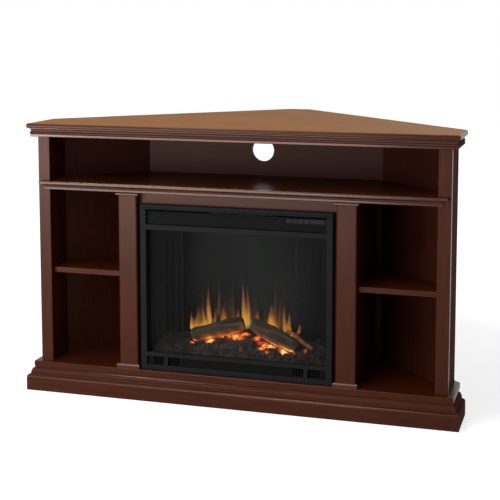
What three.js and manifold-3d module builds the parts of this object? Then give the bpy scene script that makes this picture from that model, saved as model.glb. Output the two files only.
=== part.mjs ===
// A corner fireplace: a dark wooden media cabinet that fits into the corner of a room, with an
// electric firebox in the middle, a shelf bay on each side and one wide bay under the top.
//
// Millimetres, +Z up, +Y into the corner of the room and +X to the right of someone facing it.
// Inside this file y = 0 is the front of the corner posts and x = 0 the middle. The finished group
// is moved so that its origin is the middle of the footprint, at floor level.

import * as THREE from 'three';
import { mergeVertices } from 'three/addons/utils/BufferGeometryUtils.js';
import Module from 'manifold-3d';

const wasm = await Module();
wasm.setup();

// ---------------------------------------------------------------- driving dimensions

const FIT = 0.3; // gap between a loose, mitred or round piece and its seat

// The cabinet in plan
const BODY_WIDTH = 1228; // over the outer faces of the two side panels
const POST_WIDTH = 37; // of a corner post and of the side panel behind it
const POST_DEPTH = 18;
const SIDE_DEPTH = 140; // front of the posts to the back edge of a side panel
const WALL_GAP = 24; // the top reaches this much further back than the side panels
const CORNER_CUT = 71; // width of the cut-off rear corner
const BASE_SETBACK = 14; // the base stays this much further inside the room's corner than the top

// The cabinet in height
const BASE_HEIGHT = 69;
const DECK_THICKNESS = 18;
const HEADER_HEIGHT = 32; // board that shows between the firebox frame and the media shelf
const MEDIA_SHELF_THICKNESS = 26;
const MEDIA_BAY_HEIGHT = 158; // clear height over the media shelf
const TOP_THICKNESS = 14;

// The inside of the bays
const BAY_SIDE_DEPTH = 105; // straight part of a bay's outer wall, before it turns inward
const BACK_DEPTH = 291; // front of the posts to the flat back wall
const CENTRE_BACK_WIDTH = 744;
const BACK_THICKNESS = 12;
const CABLE_HOLE = 70; // diameter, half way up the media bay
const CORD_HOLE = 60; // diameter, straight behind the gland

// Mouldings, as how far each reaches out past the body
const TOP_OVERHANG = 19; // where the flat of the top ends and its rounded edge begins
const TOP_EDGE = 6; // radius of that rounded edge
const CROWN_REACH = 20.5;
const CROWN_FILLET = 1.5; // flat strip over the crown's cove
const COVE_HEIGHT = 8.5;
const COVE_DEPTH = 6;
const BEAD_HEIGHT = 8;
const BEAD_REACH = 3;
const BEAD_STEP = 1; // small slope between the bead and the flat band under it
const CROWN_BAND = 7; // height of that band
const CROWN_BAND_REACH = 17;
const NOSING_LENGTH = 1176;
const NOSING_REACH = 18; // of its upper lip
const NOSING_LOW_REACH = 4.5; // of the small bead under the hollow
const NOSING_LIP = 9; // height of the lip
const NOSING_HOLLOW = 8.5; // height of the hollow under it
const NOSING_QUIRK = 1; // the hollow starts this far behind the bead
const NOSING_UNDERCUT = 3; // flat strip under the lip
const DECK_OVERHANG = 17;
const PLINTH_REACH = 35;
const PLINTH_ROUND = 8; // radius of the base's rounded shoulder
const BASE_FILLET = 9; // upright strip over that shoulder
const BASE_FILLET_REACH = 25;
const OVOLO_HEIGHT = 10;
const OVOLO_FILLET = 2; // flat strip between the ovolo and the deck
const BASE_BOARD = 18; // thickness of the base behind the body's own face
const EASE = 1.5; // small rounding of sawn edges

// Pilasters beside the firebox
const PILASTER_WIDTH = 57;
const PILASTER_FRONT = 6; // ahead of the posts
const FRAME_CLEAR = 3; // gap between the firebox frame and a pilaster's foot
const PILASTER_EASE = 3;
const CAP_HEIGHT = 7;
const CAP_REACH = 6;
const CAP_SLOPE = 2;
const FOOT_HEIGHT = 14;
const FOOT_REACH = 7;
const FOOT_ROUND = 4;
const FOOT_STEP = 1;
const SURROUND_FRONT = 20; // the boards round the firebox lie this far behind the posts
const SURROUND_THICKNESS = 18;
const PARTITION_THICKNESS = 19;

// Side shelves and the pins that they rest on
const SHELF_TOP = 372;
const SHELF_THICKNESS = 15;
const SHELF_SETBACK = 18;
const SHELF_PLAY = 1; // free space at each end and behind
const PIN_RADIUS = 2.5;
const PIN_REACH = 9; // how far a pin stands out into the bay
const PIN_DEPTH = 11; // how far it goes into its hole
const PIN_INSET = 20; // from the front and back edge of what a pin stands in or carries

// The front frame of the firebox
const FRAME_WIDTH = 577;
const FRAME_HEIGHT = 492;
const FRAME_FRONT = 4; // ahead of the posts
const FRAME_BAR = 18.5; // width of the upright bars
const FRAME_CAP = 14; // height of the bar across the top
const FRAME_LIP = 4; // how far the rounded lower edge of that bar stands out
const FRAME_BAND = 44; // height of the opening for the controls, under the top bar
const FRAME_MID_HEIGHT = 16; // of the rail between that opening and the window
const FRAME_LOW_TOP = 53; // the rail under the window
const FRAME_LOW_HEIGHT = 12;
const FRAME_FOOT = 15;
const FRAME_RAIL_DEPTH = 8;
const FRAME_EASE = 1.2;
const FRAME_CAP_RISE = 1; // the top bar stands this much above the plate under it
const VENT_POST_WIDTH = 12;
const VENT_POST_INSET = 59; // middle of each short upright, from the upright bar beside it

// The casing of the firebox
const CASING_INSET = 18.5; // each side of the casing, inside the frame's outer edge
const CASING_DROP = 1.5; // top of the casing below the top of the frame
const CASING_BACK = 225;
const CASING_PLAY = 2; // between casing and surround
const SHEET = 2;
const HEARTH = 41; // underside of the hearth plate, above the deck
const CEILING_RISE = 5; // underside of the plate over the window, above the window's top edge

// Controls
const FASCIA_FRONT = 6;
const FASCIA_THICKNESS = 4;
const FASCIA_PLAY = 1; // over the rail that it stands on
const OUTLET_SLIT = 5; // warm air leaves between the cap and the fascia
const BUTTON_COUNT = 4;
const BUTTON_WIDTH = 15;
const BUTTON_HEIGHT = 12;
const BUTTON_PITCH = 17;
const BUTTON_PROUD = 3;
const BUTTON_FLANGE = 1.7; // thickness of the flange behind the fascia
const BUTTON_FLANGE_LAP = 0.8;
const STRIP_DROP = 14; // middle of the control strip below the cap
const STRIP_MARGIN = 6; // right end of the control strip to the upright bar
const LENS_WIDTH = 44;
const LENS_PROUD = 1;

// Window, mesh curtains and their rod
const GLASS_THICKNESS = 4;
const ROD_RADIUS = 2.5;
const ROD_RISE = 6.5; // above the window's top edge
const CURTAIN_LEFT_WIDTH = 111;
const CURTAIN_RIGHT_WIDTH = 97;
const CURTAIN_FOLD = 19; // width of one fold
const CURTAIN_FOLD_STEPS = 8;
const CURTAIN_ROOM = 3.4; // free space in front of the folds and behind them
const CURTAIN_THICKNESS = 1.2;
const CURTAIN_MARGIN = 1.5; // free space beside the upright bar

// Lower vent
const GRILLE_THICKNESS = 2;
const GRILLE_CELL_WIDTH = 36;
const GRILLE_COLUMNS = 4;
const GRILLE_ROWS = 3;
const GRILLE_BAR = 2.4;

// Fire bed, logs and what makes the flames move
const BED_GLASS_GAP = 5.7; // between the glass and the coals
const BED_SCREEN_GAP = 6; // between the coals and the screen
const BED_HEIGHT = 20; // of the coals at the front edge
const BED_RISE = 32; // how much higher they lie at the back
const BED_FALL = 0.5; // share of that rise which is lost towards each side
const BED_LUMP = 6;
const BED_COLUMNS = 30;
const BED_ROWS = 8;
const LOG_SIDES = 10;
const LOG_RINGS = 12;
const LOG_END = 0.86; // the sawn ends' share of the log's radius
const BARK_ROUGHNESS = 0.07; // of the radius
const LOG_WAVE = 0.08; // slow swelling along a log, of the radius
const LOG_WAVE_TURN = 7; // radians from end to end
const SCREEN_THICKNESS = 3;
const SCREEN_ROOM = 68; // between the screen and the casing's back sheet
const FLICKER_HEIGHT = 75; // above the deck
const FLICKER_SHAFT = 3;
const FLICKER_PADDLES = 12;
const FLICKER_TURN = 36; // degrees from one paddle to the next
const PADDLE_LENGTH = 26;
const PADDLE_WIDTH = 22;
const PADDLE_THICKNESS = 1.2;

// Two big logs lean together at a crest, and a small one lies in front. Ends are given by their
// distance from the middle, their depth into the coals and their height above the hearth.
const CREST_LEFT = 6;
const CREST_RIGHT = 22;
const CREST_DEPTH = 34; // in front of the coals' back edge
const CREST_HEIGHT = 87;
const LOG_RADIUS = 22.5;
const LEFT_END = 158;
const LEFT_END_DEPTH = 54; // behind the coals' front edge, as for the other three
const LEFT_END_HEIGHT = 46;
const RIGHT_END = 168;
const RIGHT_END_DEPTH = 46;
const RIGHT_END_HEIGHT = 34;
const FRONT_LOG_RADIUS = 15;
const FRONT_LOG_LEFT = 60;
const FRONT_LOG_LEFT_DEPTH = 28;
const FRONT_LOG_LEFT_HEIGHT = 22;
const FRONT_LOG_RIGHT = 34;
const FRONT_LOG_RIGHT_DEPTH = 44;
const FRONT_LOG_RIGHT_HEIGHT = 38;

// Blower
const BLOWER_LENGTH = 230;
const BLOWER_HEADROOM = 5.5; // between the blower and the casing's top sheet
const BLOWER_FRONT = 62;
const BLOWER_WALL = 6; // thickness at both ends
const BLOWER_SHELL = 5; // thinnest wall round the bore
const DRUM_PLAY = 4; // between the drum and the bore, and at the drum's ends
const DRUM_BLADES = 14;
const BLADE_LENGTH = 6;
const BLADE_ROOT = 0.12; // half the width at a blade's root, in radians
const BLADE_TIP = 0.06; // width at its tip, in radians
const DRUM_SHAFT = 3;
const GLAND_RADIUS = 9;
const GLAND_FLANGE = 13; // radius
const GLAND_FLANGE_THICKNESS = 3;
const GLAND_BORE = 5;
const GLAND_LENGTH = 15;
const GLAND_INSET = 70; // from the right side of the casing
const GLAND_HEIGHT = 63; // above the deck

// ---------------------------------------------------------------- derived places

const bodyHalf = BODY_WIDTH / 2;
const bayOuter = bodyHalf - POST_WIDTH; // inner face of a post and of a side panel
const crownHeight = CROWN_FILLET + COVE_HEIGHT + BEAD_HEIGHT + BEAD_STEP + CROWN_BAND;
const deckTop = BASE_HEIGHT + DECK_THICKNESS;
const frameTop = deckTop + FRAME_HEIGHT;
const mediaUnder = frameTop + HEADER_HEIGHT;
const mediaTop = mediaUnder + MEDIA_SHELF_THICKNESS;
const topUnder = mediaTop + MEDIA_BAY_HEIGHT;
const topSurface = topUnder + TOP_THICKNESS;
// The room's walls run at 45 degrees, so |x| + y is constant along a back edge
const topWallSum = bodyHalf + SIDE_DEPTH + WALL_GAP;
const baseWallSum = topWallSum - BASE_SETBACK;
const rearEdge = topWallSum - CORNER_CUT / 2;
const centreBack = CENTRE_BACK_WIDTH / 2;

const frameHalf = FRAME_WIDTH / 2;
const frameInner = frameHalf - FRAME_BAR;
const bandTop = frameTop - FRAME_CAP;
const midTop = bandTop - FRAME_BAND;
const windowTop = midTop - FRAME_MID_HEIGHT;
const windowFoot = deckTop + FRAME_LOW_TOP;
const ventTop = windowFoot - FRAME_LOW_HEIGHT;
const ventFoot = deckTop + FRAME_FOOT;
const railBack = FRAME_RAIL_DEPTH - FRAME_FRONT;
const ventPost = frameInner - VENT_POST_INSET;
const lensLeft = frameInner - STRIP_MARGIN - LENS_WIDTH;
const stripLeft = lensLeft - BUTTON_COUNT * BUTTON_PITCH;
const pilasterInner = frameHalf + FRAME_CLEAR + Math.max(FOOT_REACH, CAP_REACH);
const pilasterOuter = pilasterInner + PILASTER_WIDTH;
const pilasterMiddle = (pilasterInner + pilasterOuter) / 2;
const surroundBack = SURROUND_FRONT + SURROUND_THICKNESS;

const casingHalf = frameHalf - CASING_INSET;
const casingInner = casingHalf - SHEET;
const casingTop = frameTop - CASING_DROP;
const hearthTop = deckTop + HEARTH + SHEET;
const ceilingUnder = windowTop + CEILING_RISE;
const ceilingTop = ceilingUnder + SHEET;
const rodDepth = (railBack + SURROUND_FRONT) / 2;
const foldDepth = rodDepth - railBack - CURTAIN_ROOM - CURTAIN_THICKNESS / 2;
const glassFront = SURROUND_FRONT + FIT;
const screenBack = CASING_BACK - SHEET - SCREEN_ROOM;
const screenFront = screenBack - SCREEN_THICKNESS;
const bedFront = glassFront + GLASS_THICKNESS + BED_GLASS_GAP;
const bedBack = screenFront - BED_SCREEN_GAP;
const flickerDepth = screenBack + SCREEN_ROOM / 2;
const flickerHeight = deckTop + FLICKER_HEIGHT;
const glandX = casingHalf - GLAND_INSET;
const glandHeight = deckTop + GLAND_HEIGHT;
const shelfUnder = SHELF_TOP - SHELF_THICKNESS;
const pinCentre = shelfUnder - PIN_RADIUS * Math.SQRT1_2;
const outerPins = [SHELF_SETBACK + PIN_INSET, BAY_SIDE_DEPTH - PIN_INSET]; // in a side panel

// ---------------------------------------------------------------- shape helpers

/** A closed solid for cutting and joining, from any closed three.js geometry. */
function solidOf(geometry) {
  const bare = geometry.clone();
  bare.deleteAttribute('normal');
  bare.deleteAttribute('uv');
  const merged = mergeVertices(bare);
  return new wasm.Manifold(new wasm.Mesh({
    numProp: 3,
    vertProperties: new Float32Array(merged.attributes.position.array),
    triVerts: new Uint32Array(merged.index.array),
  }));
}

function geometryOf(solid) {
  const mesh = solid.getMesh();
  const geometry = new THREE.BufferGeometry();
  geometry.setAttribute('position', new THREE.BufferAttribute(mesh.vertProperties, 3));
  geometry.setIndex(new THREE.BufferAttribute(mesh.triVerts, 1));
  return geometry;
}

function cut(body, tools) {
  return geometryOf(tools.reduce((solid, tool) => solid.subtract(solidOf(tool)), solidOf(body)));
}

function join(pieces) {
  return geometryOf(pieces.map(solidOf).reduce((whole, piece) => whole.add(piece)));
}

/** A box from its lowest and highest corner. */
function box(x0, y0, z0, x1, y1, z1) {
  return new THREE.BoxGeometry(x1 - x0, y1 - y0, z1 - z0)
    .translate((x0 + x1) / 2, (y0 + y1) / 2, (z0 + z1) / 2);
}

function cylinderX(radius, x0, x1, y, z, sides = 16) {
  return new THREE.CylinderGeometry(radius, radius, x1 - x0, sides)
    .rotateZ(Math.PI / 2)
    .translate((x0 + x1) / 2, y, z);
}

function cylinderY(radius, x, y0, y1, z, sides = 16) {
  return new THREE.CylinderGeometry(radius, radius, y1 - y0, sides).translate(x, (y0 + y1) / 2, z);
}

function outline(points) {
  return new THREE.Shape(points.map(([a, b]) => new THREE.Vector2(a, b)));
}

function rectangle(a0, b0, a1, b1) {
  return outline([[a0, b0], [a1, b0], [a1, b1], [a0, b1]]);
}

/** A plan outline (x, y) raised from z0 to z1. */
function raise(points, z0, z1) {
  return new THREE.ExtrudeGeometry(outline(points), { depth: z1 - z0, bevelEnabled: false })
    .translate(0, 0, z0);
}

/** A front outline (x, z) with the given depth behind y0; bevel eases both faces' edges. */
function upright(shape, y0, y1, bevel = 0) {
  const depth = y1 - y0 - 2 * bevel;
  return new THREE.ExtrudeGeometry(shape, {
    depth,
    bevelEnabled: bevel > 0,
    bevelSize: bevel,
    bevelOffset: -bevel,
    bevelThickness: bevel,
    bevelSegments: 1,
  }).rotateX(Math.PI / 2).translate(0, y1 - bevel, 0);
}

/** A side outline (y, z) run along X. */
function runX(points, x0, x1) {
  const turn = new THREE.Matrix4().makeBasis(
    new THREE.Vector3(0, 1, 0), new THREE.Vector3(0, 0, 1), new THREE.Vector3(1, 0, 0));
  return new THREE.ExtrudeGeometry(outline(points), { depth: x1 - x0, bevelEnabled: false })
    .applyMatrix4(turn)
    .translate(x0, 0, 0);
}

/**
 * A closed solid through rings that have the same number of points. The flat list of [a, b]
 * points is the ring's own outline and gives the triangles of both end faces.
 */
function loft(rings, ends) {
  const sides = ends.length;
  const flat = ends.map(([a, b]) => new THREE.Vector2(a, b));
  const caps = THREE.ShapeUtils.triangulateShape(flat, []);
  const clockwise = THREE.ShapeUtils.isClockWise(flat);
  const last = (rings.length - 1) * sides;
  const faces = [];
  for (let ring = 0; ring < rings.length - 1; ring++) {
    for (let side = 0; side < sides; side++) {
      const a = ring * sides + side;
      const b = ring * sides + (side + 1) % sides;
      faces.push([a, b, b + sides], [a, b + sides, a + sides]);
    }
  }
  for (const cap of caps) {
    const [a, b, c] = clockwise ? [...cap].reverse() : cap;
    faces.push([a, c, b], [last + a, last + b, last + c]);
  }
  const points = rings.flat().map(([x, y, z]) => new THREE.Vector3(x, y, z));
  const volume = faces.reduce((sum, [a, b, c]) =>
    sum + points[a].dot(new THREE.Vector3().crossVectors(points[b], points[c])), 0);
  const outward = volume > 0 ? faces : faces.map(([a, b, c]) => [a, c, b]);
  const geometry = new THREE.BufferGeometry();
  geometry.setAttribute('position', new THREE.Float32BufferAttribute(rings.flat(2), 3));
  geometry.setIndex(outward.flat());
  return geometry;
}

/** A plan that widens and narrows with height: levels are [offset, z], plan(offset) its outline. */
function stack(levels, plan) {
  return loft(levels.map(([offset, z]) => plan(offset).map(([x, y]) => [x, y, z])), plan(levels[0][0]));
}

/** Points on a quarter of an ellipse round (a, b), from angle start to angle end in degrees. */
function arc(a, b, reachA, reachB, start, end, steps = 4) {
  const points = [];
  for (let step = 0; step <= steps; step++) {
    const angle = THREE.MathUtils.degToRad(start + (end - start) * step / steps);
    points.push([a + reachA * Math.cos(angle), b + reachB * Math.sin(angle)]);
  }
  return points;
}

/** A repeatable uneven number between -1 and 1. */
function uneven(a, b) {
  const wave = Math.sin(a * 12.9898 + b * 78.233) * 43758.5453;
  return 2 * (wave - Math.floor(wave)) - 1;
}

// ---------------------------------------------------------------- cabinet plans

/** The five-sided plan with its cut rear corner, grown at the front and both short sides. */
function cornerPlan(offset, wallSum) {
  const x = bodyHalf + offset;
  const cut = CORNER_CUT / 2;
  return [
    [-x, -offset], [x, -offset], [x, wallSum - x],
    [cut, wallSum - cut], [-cut, wallSum - cut], [-x, wallSum - x],
  ];
}

/** Depth of the bays' back wall at a distance x from the middle. */
function backFace(x) {
  const past = Math.abs(x) - centreBack;
  const run = Math.max(0, past) / (bayOuter - centreBack);
  return BACK_DEPTH + run * (BAY_SIDE_DEPTH - BACK_DEPTH);
}

/** Plan of a board that fills a bay between x0 and x1 (x0 < x1) on the right-hand side. */
function bayPlan(x0, x1, front, play) {
  const back = [[x1, backFace(x1) - play]];
  if (x0 < centreBack - play) {
    back.push([centreBack - play, BACK_DEPTH - play]);
  }
  back.push([x0, backFace(x0) - play]);
  return [[x0, front], [x1, front], ...back];
}

function mirrored(points) {
  return points.map(([x, y]) => [-x, y]).reverse();
}

const innerPins = [surroundBack + PIN_INSET, backFace(pilasterOuter + PIN_REACH) - PIN_INSET];

// ---------------------------------------------------------------- cabinet parts

const meshes = [];

const MATERIALS = {
  wood: { color: 0x4b231a, roughness: 0.38, metalness: 0 },
  wood_top: { color: 0x8a5a34, roughness: 0.3, metalness: 0 },
  wood_inside: { color: 0x2e120e, roughness: 0.5, metalness: 0 },
  pin_steel: { color: 0xb8b8b4, roughness: 0.35, metalness: 1 },
  black_steel: { color: 0x2b2d2e, roughness: 0.5, metalness: 0.6 },
  casing_steel: { color: 0x18191a, roughness: 0.6, metalness: 0.5 },
  mesh_steel: { color: 0x1d1d1d, roughness: 0.5, metalness: 0.7 },
  black_plastic: { color: 0x222324, roughness: 0.45, metalness: 0 },
  grey_plastic: { color: 0x4c4e50, roughness: 0.4, metalness: 0 },
  lens: { color: 0x55585a, roughness: 0.2, metalness: 0 },
  glass: { color: 0x2a2c2a, roughness: 0.05, metalness: 0 },
  flame_screen: { color: 0x3a3c38, roughness: 0.3, metalness: 0 },
  log: { color: 0x5a3d28, roughness: 0.9, metalness: 0 },
  ember: { color: 0xb0451a, roughness: 0.9, metalness: 0 },
  bright_metal: { color: 0xc8c8c8, roughness: 0.3, metalness: 1 },
};

function add(name, material, geometry) {
  const mesh = new THREE.Mesh(geometry, new THREE.MeshStandardMaterial(MATERIALS[material]));
  mesh.name = name;
  meshes.push(mesh);
}

function addBothSides(name, material, build) {
  add(`left_${name}`, material, build(-1));
  add(`right_${name}`, material, build(1));
}

/** A box whose inner and outer distance from the middle are given, on side -1 or 1. */
function sideBox(side, inner, y0, z0, outer, y1, z1) {
  return box(Math.min(side * inner, side * outer), y0, z0, Math.max(side * inner, side * outer), y1, z1);
}

function addTop() {
  const edge = [
    ...arc(TOP_OVERHANG, topSurface - TOP_EDGE, TOP_EDGE, TOP_EDGE, 90, 0),
    [TOP_OVERHANG + TOP_EDGE, topUnder + 2 * EASE],
    [TOP_OVERHANG + TOP_EDGE - EASE, topUnder],
  ];
  add('top_panel', 'wood_top', stack(edge, (offset) => cornerPlan(offset, topWallSum)));
}

/**
 * A mitred moulding round the front and both sides of the cabinet. The profile is a list of
 * [offset, z]; the returns stop square at sideEnd.
 */
function addMoulding(name, profile, sideEnd) {
  const front = [-1, 1].map((side) =>
    profile.map(([offset, z]) => [side * (bodyHalf + offset), -offset, z]));
  add(`${name}_front`, 'wood', loft(front, profile));
  for (const [side, word] of [[-1, 'left'], [1, 'right']]) {
    const mitre = profile.map(([offset, z]) => [side * (bodyHalf + offset), FIT - offset, z]);
    const end = profile.map(([offset, z]) => [side * (bodyHalf + offset), sideEnd, z]);
    add(`${name}_${word}`, 'wood', loft([mitre, end], profile));
  }
}

function addCrown() {
  const waist = CROWN_REACH - COVE_DEPTH;
  const coveTop = topUnder - CROWN_FILLET;
  const coveFoot = coveTop - COVE_HEIGHT;
  const beadMiddle = coveFoot - BEAD_HEIGHT / 2;
  const bandTop = coveFoot - BEAD_HEIGHT - BEAD_STEP;
  const foot = topUnder - crownHeight;
  const profile = [
    [0, topUnder],
    [CROWN_REACH, topUnder],
    ...arc(CROWN_REACH, coveFoot, COVE_DEPTH, COVE_HEIGHT, 90, 180),
    ...arc(waist, beadMiddle, BEAD_REACH, BEAD_HEIGHT / 2, 90, -90, 6).slice(1),
    [CROWN_BAND_REACH, bandTop],
    [CROWN_BAND_REACH, foot + EASE],
    [CROWN_BAND_REACH - EASE, foot],
    [0, foot],
  ];
  addMoulding('crown', profile, topWallSum - bodyHalf - CROWN_REACH);
}

function addBase() {
  const neck = DECK_OVERHANG - EASE;
  const ovoloFoot = BASE_HEIGHT - OVOLO_FILLET - OVOLO_HEIGHT;
  const shoulderTop = ovoloFoot - BASE_FILLET + EASE;
  const flatTop = ovoloFoot - BASE_FILLET - PLINTH_ROUND;
  const profile = [
    [-BASE_BOARD, 0],
    [PLINTH_REACH, 0],
    ...arc(PLINTH_REACH - PLINTH_ROUND, flatTop, PLINTH_ROUND, PLINTH_ROUND, 0, 90),
    [BASE_FILLET_REACH, shoulderTop],
    [BASE_FILLET_REACH, ovoloFoot],
    ...arc(neck, ovoloFoot, BASE_FILLET_REACH - EASE - neck, OVOLO_HEIGHT, 0, 90),
    [neck, BASE_HEIGHT],
    [-BASE_BOARD, BASE_HEIGHT],
  ];
  addMoulding('base', profile, baseWallSum - bodyHalf - PLINTH_REACH);
}

function addDeck() {
  const edge = [
    [DECK_OVERHANG - EASE, BASE_HEIGHT],
    [DECK_OVERHANG, BASE_HEIGHT + EASE],
    [DECK_OVERHANG, deckTop - EASE],
    [DECK_OVERHANG - EASE, deckTop],
  ];
  add('bottom_panel', 'wood', stack(edge, (offset) => cornerPlan(offset, baseWallSum)));
}

function addRearLeg() {
  const half = CORNER_CUT / 2;
  add('rear_leg', 'wood_inside', box(-half, rearEdge - BASE_SETBACK, 0, half, rearEdge, topUnder));
}

function postPlan(inner, outer, front, back, ease) {
  return [[inner, back], [inner, front + ease], [inner + ease, front],
    [outer - ease, front], [outer, front + ease], [outer, back]];
}

function addPosts() {
  const plan = postPlan(bayOuter, bodyHalf, 0, POST_DEPTH, EASE);
  addBothSides('post', 'wood', (side) => raise(side < 0 ? mirrored(plan) : plan, deckTop, topUnder));
}

/** The rail behind the crown, which ties the two posts together under the top. */
function addTopRail() {
  add('top_rail', 'wood_inside', box(
    -bayOuter, 0, topUnder - crownHeight, bayOuter, POST_DEPTH, topUnder));
}

/** The drilled holes for shelf pins, in a face at distance x from the middle. */
function pinHoles(side, x, inward, places) {
  const end = x - inward * (PIN_DEPTH + FIT);
  const ends = [side * (x + inward * FIT), side * end].sort((a, b) => a - b);
  return places.map((y) => cylinderX(PIN_RADIUS + FIT, ends[0], ends[1], y, pinCentre));
}

function addSidePanels() {
  addBothSides('side_panel', 'wood', (side) => cut(
    sideBox(side, bayOuter, POST_DEPTH, deckTop, bodyHalf, SIDE_DEPTH, topUnder),
    pinHoles(side, bayOuter, -1, outerPins)));
}

function addPartitions() {
  const inner = pilasterOuter - PARTITION_THICKNESS;
  const back = backFace(pilasterOuter) - FIT;
  addBothSides('partition', 'wood_inside', (side) => cut(
    sideBox(side, inner, surroundBack, deckTop, pilasterOuter, back, mediaUnder),
    pinHoles(side, pilasterOuter, 1, innerPins)));
}

/** A shelf pin is a round peg with a flat on top, where the shelf rests. */
function addPins() {
  const section = arc(0, 0, PIN_RADIUS, PIN_RADIUS, 135, 405, 9);
  const walls = [
    { word: 'outer', x: bayOuter, toBay: -1, places: outerPins },
    { word: 'inner', x: pilasterOuter, toBay: 1, places: innerPins },
  ];
  for (const [side, sideWord] of [[-1, 'left'], [1, 'right']]) {
    for (const wall of walls) {
      const ends = [side * (wall.x - wall.toBay * PIN_DEPTH), side * (wall.x + wall.toBay * PIN_REACH)];
      ends.sort((a, b) => a - b);
      wall.places.forEach((y, index) => {
        const points = section.map(([a, b]) => [y + a, pinCentre + b]);
        const place = index === 0 ? 'front' : 'rear';
        add(`${sideWord}_pin_${wall.word}_${place}`, 'pin_steel', runX(points, ends[0], ends[1]));
      });
    }
  }
}

function addBackPanels() {
  const slope = Math.hypot(1, (BACK_DEPTH - BAY_SIDE_DEPTH) / (bayOuter - centreBack));
  const inner = centreBack + FIT;
  const outer = bayOuter - FIT;
  const thick = BACK_THICKNESS * slope;
  const plan = [
    [inner, backFace(inner)],
    [outer, backFace(outer)],
    [outer, backFace(outer) + thick],
    [inner, backFace(inner) + thick],
  ];
  addBothSides('back_panel', 'wood_inside', (side) =>
    raise(side < 0 ? mirrored(plan) : plan, deckTop, topUnder));

  const back = BACK_DEPTH + BACK_THICKNESS;
  add('centre_back_panel', 'wood_inside', cut(
    box(-centreBack, BACK_DEPTH, deckTop, centreBack, back, topUnder), [
      cylinderY(CABLE_HOLE / 2, 0, BACK_DEPTH - FIT, back + FIT, (mediaTop + topUnder) / 2, 40),
      cylinderY(CORD_HOLE / 2, glandX, BACK_DEPTH - FIT, back + FIT, glandHeight, 32),
    ]));
}

function addMediaShelf() {
  const right = bayPlan(0, bayOuter - FIT, 0, FIT).slice(1, -1);
  const plan = [...right, ...mirrored(right)];
  add('media_shelf', 'wood', raise(plan, mediaUnder, mediaTop));

  const lip = mediaTop - NOSING_LIP;
  const hollowFoot = lip - NOSING_HOLLOW;
  const hollowFront = NOSING_REACH - NOSING_UNDERCUT;
  const hollowDepth = hollowFront - NOSING_LOW_REACH + NOSING_QUIRK;
  const edge = [
    [NOSING_LOW_REACH - EASE, mediaUnder],
    [NOSING_LOW_REACH, mediaUnder + EASE],
    [NOSING_LOW_REACH, hollowFoot - EASE],
    ...arc(hollowFront, hollowFoot, hollowDepth, NOSING_HOLLOW, 180, 90),
    [NOSING_REACH, lip + EASE],
    [NOSING_REACH, mediaTop - 2 * EASE],
    [NOSING_REACH - EASE, mediaTop],
  ];
  const half = NOSING_LENGTH / 2;
  const around = (offset) => [
    [-half - offset, 0], [-half - offset, -offset], [half + offset, -offset], [half + offset, 0]];
  add('shelf_nosing', 'wood', stack(edge, around));
}

function addSurround() {
  const shape = rectangle(-pilasterOuter, deckTop, pilasterOuter, mediaUnder);
  const opening = box(
    -casingHalf - CASING_PLAY, SURROUND_FRONT - FIT, deckTop - FIT,
    casingHalf + CASING_PLAY, surroundBack + FIT, casingTop + FIT);
  add('firebox_surround', 'wood', cut(upright(shape, SURROUND_FRONT, surroundBack), [opening]));
}

function addPilasters() {
  const feet = deckTop + FOOT_HEIGHT;
  const heads = mediaUnder - CAP_HEIGHT;
  const half = PILASTER_WIDTH / 2;
  const around = (side) => (offset) => {
    const middle = side * pilasterMiddle;
    return [[middle - half - offset, SURROUND_FRONT], [middle - half - offset, -PILASTER_FRONT - offset],
      [middle + half + offset, -PILASTER_FRONT - offset], [middle + half + offset, SURROUND_FRONT]];
  };
  const plan = postPlan(pilasterInner, pilasterOuter, -PILASTER_FRONT, SURROUND_FRONT, PILASTER_EASE);
  addBothSides('pilaster', 'wood', (side) => raise(side < 0 ? mirrored(plan) : plan, feet, heads));

  const cap = [
    [CAP_REACH - CAP_SLOPE, heads],
    [CAP_REACH, heads + CAP_SLOPE],
    [CAP_REACH, mediaUnder - EASE],
    [CAP_REACH - EASE, mediaUnder],
  ];
  addBothSides('pilaster_cap', 'wood', (side) => stack(cap, around(side)));

  const foot = [
    [FOOT_REACH, deckTop],
    ...arc(FOOT_REACH - FOOT_ROUND, feet - FOOT_STEP - FOOT_ROUND, FOOT_ROUND, FOOT_ROUND, 0, 90, 3),
    [EASE, feet],
  ];
  addBothSides('pilaster_foot', 'wood', (side) => stack(foot, around(side)));
}

function addSideShelves() {
  const plan = bayPlan(pilasterOuter + SHELF_PLAY, bayOuter - SHELF_PLAY, SHELF_SETBACK, SHELF_PLAY);
  addBothSides('shelf', 'wood', (side) =>
    raise(side < 0 ? mirrored(plan) : plan, shelfUnder, SHELF_TOP));
}

// ---------------------------------------------------------------- firebox

function addCasing() {
  const hollow = (z0, z1) => box(
    -casingInner, SURROUND_FRONT - FIT, z0, casingInner, CASING_BACK - SHEET, z1);
  const flickerHole = cylinderX(
    FLICKER_SHAFT + FIT, -casingHalf - FIT, casingHalf + FIT, flickerDepth, flickerHeight);
  const glandHole = cylinderY(
    GLAND_RADIUS + FIT, glandX, CASING_BACK - SHEET - FIT, CASING_BACK + FIT, glandHeight);
  add('firebox_casing', 'casing_steel', cut(
    box(-casingHalf, SURROUND_FRONT, deckTop, casingHalf, CASING_BACK, casingTop), [
      hollow(deckTop + SHEET, hearthTop - SHEET),
      hollow(hearthTop, ceilingUnder),
      hollow(ceilingTop, casingTop - SHEET),
      flickerHole,
      glandHole,
    ]));
}

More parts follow.
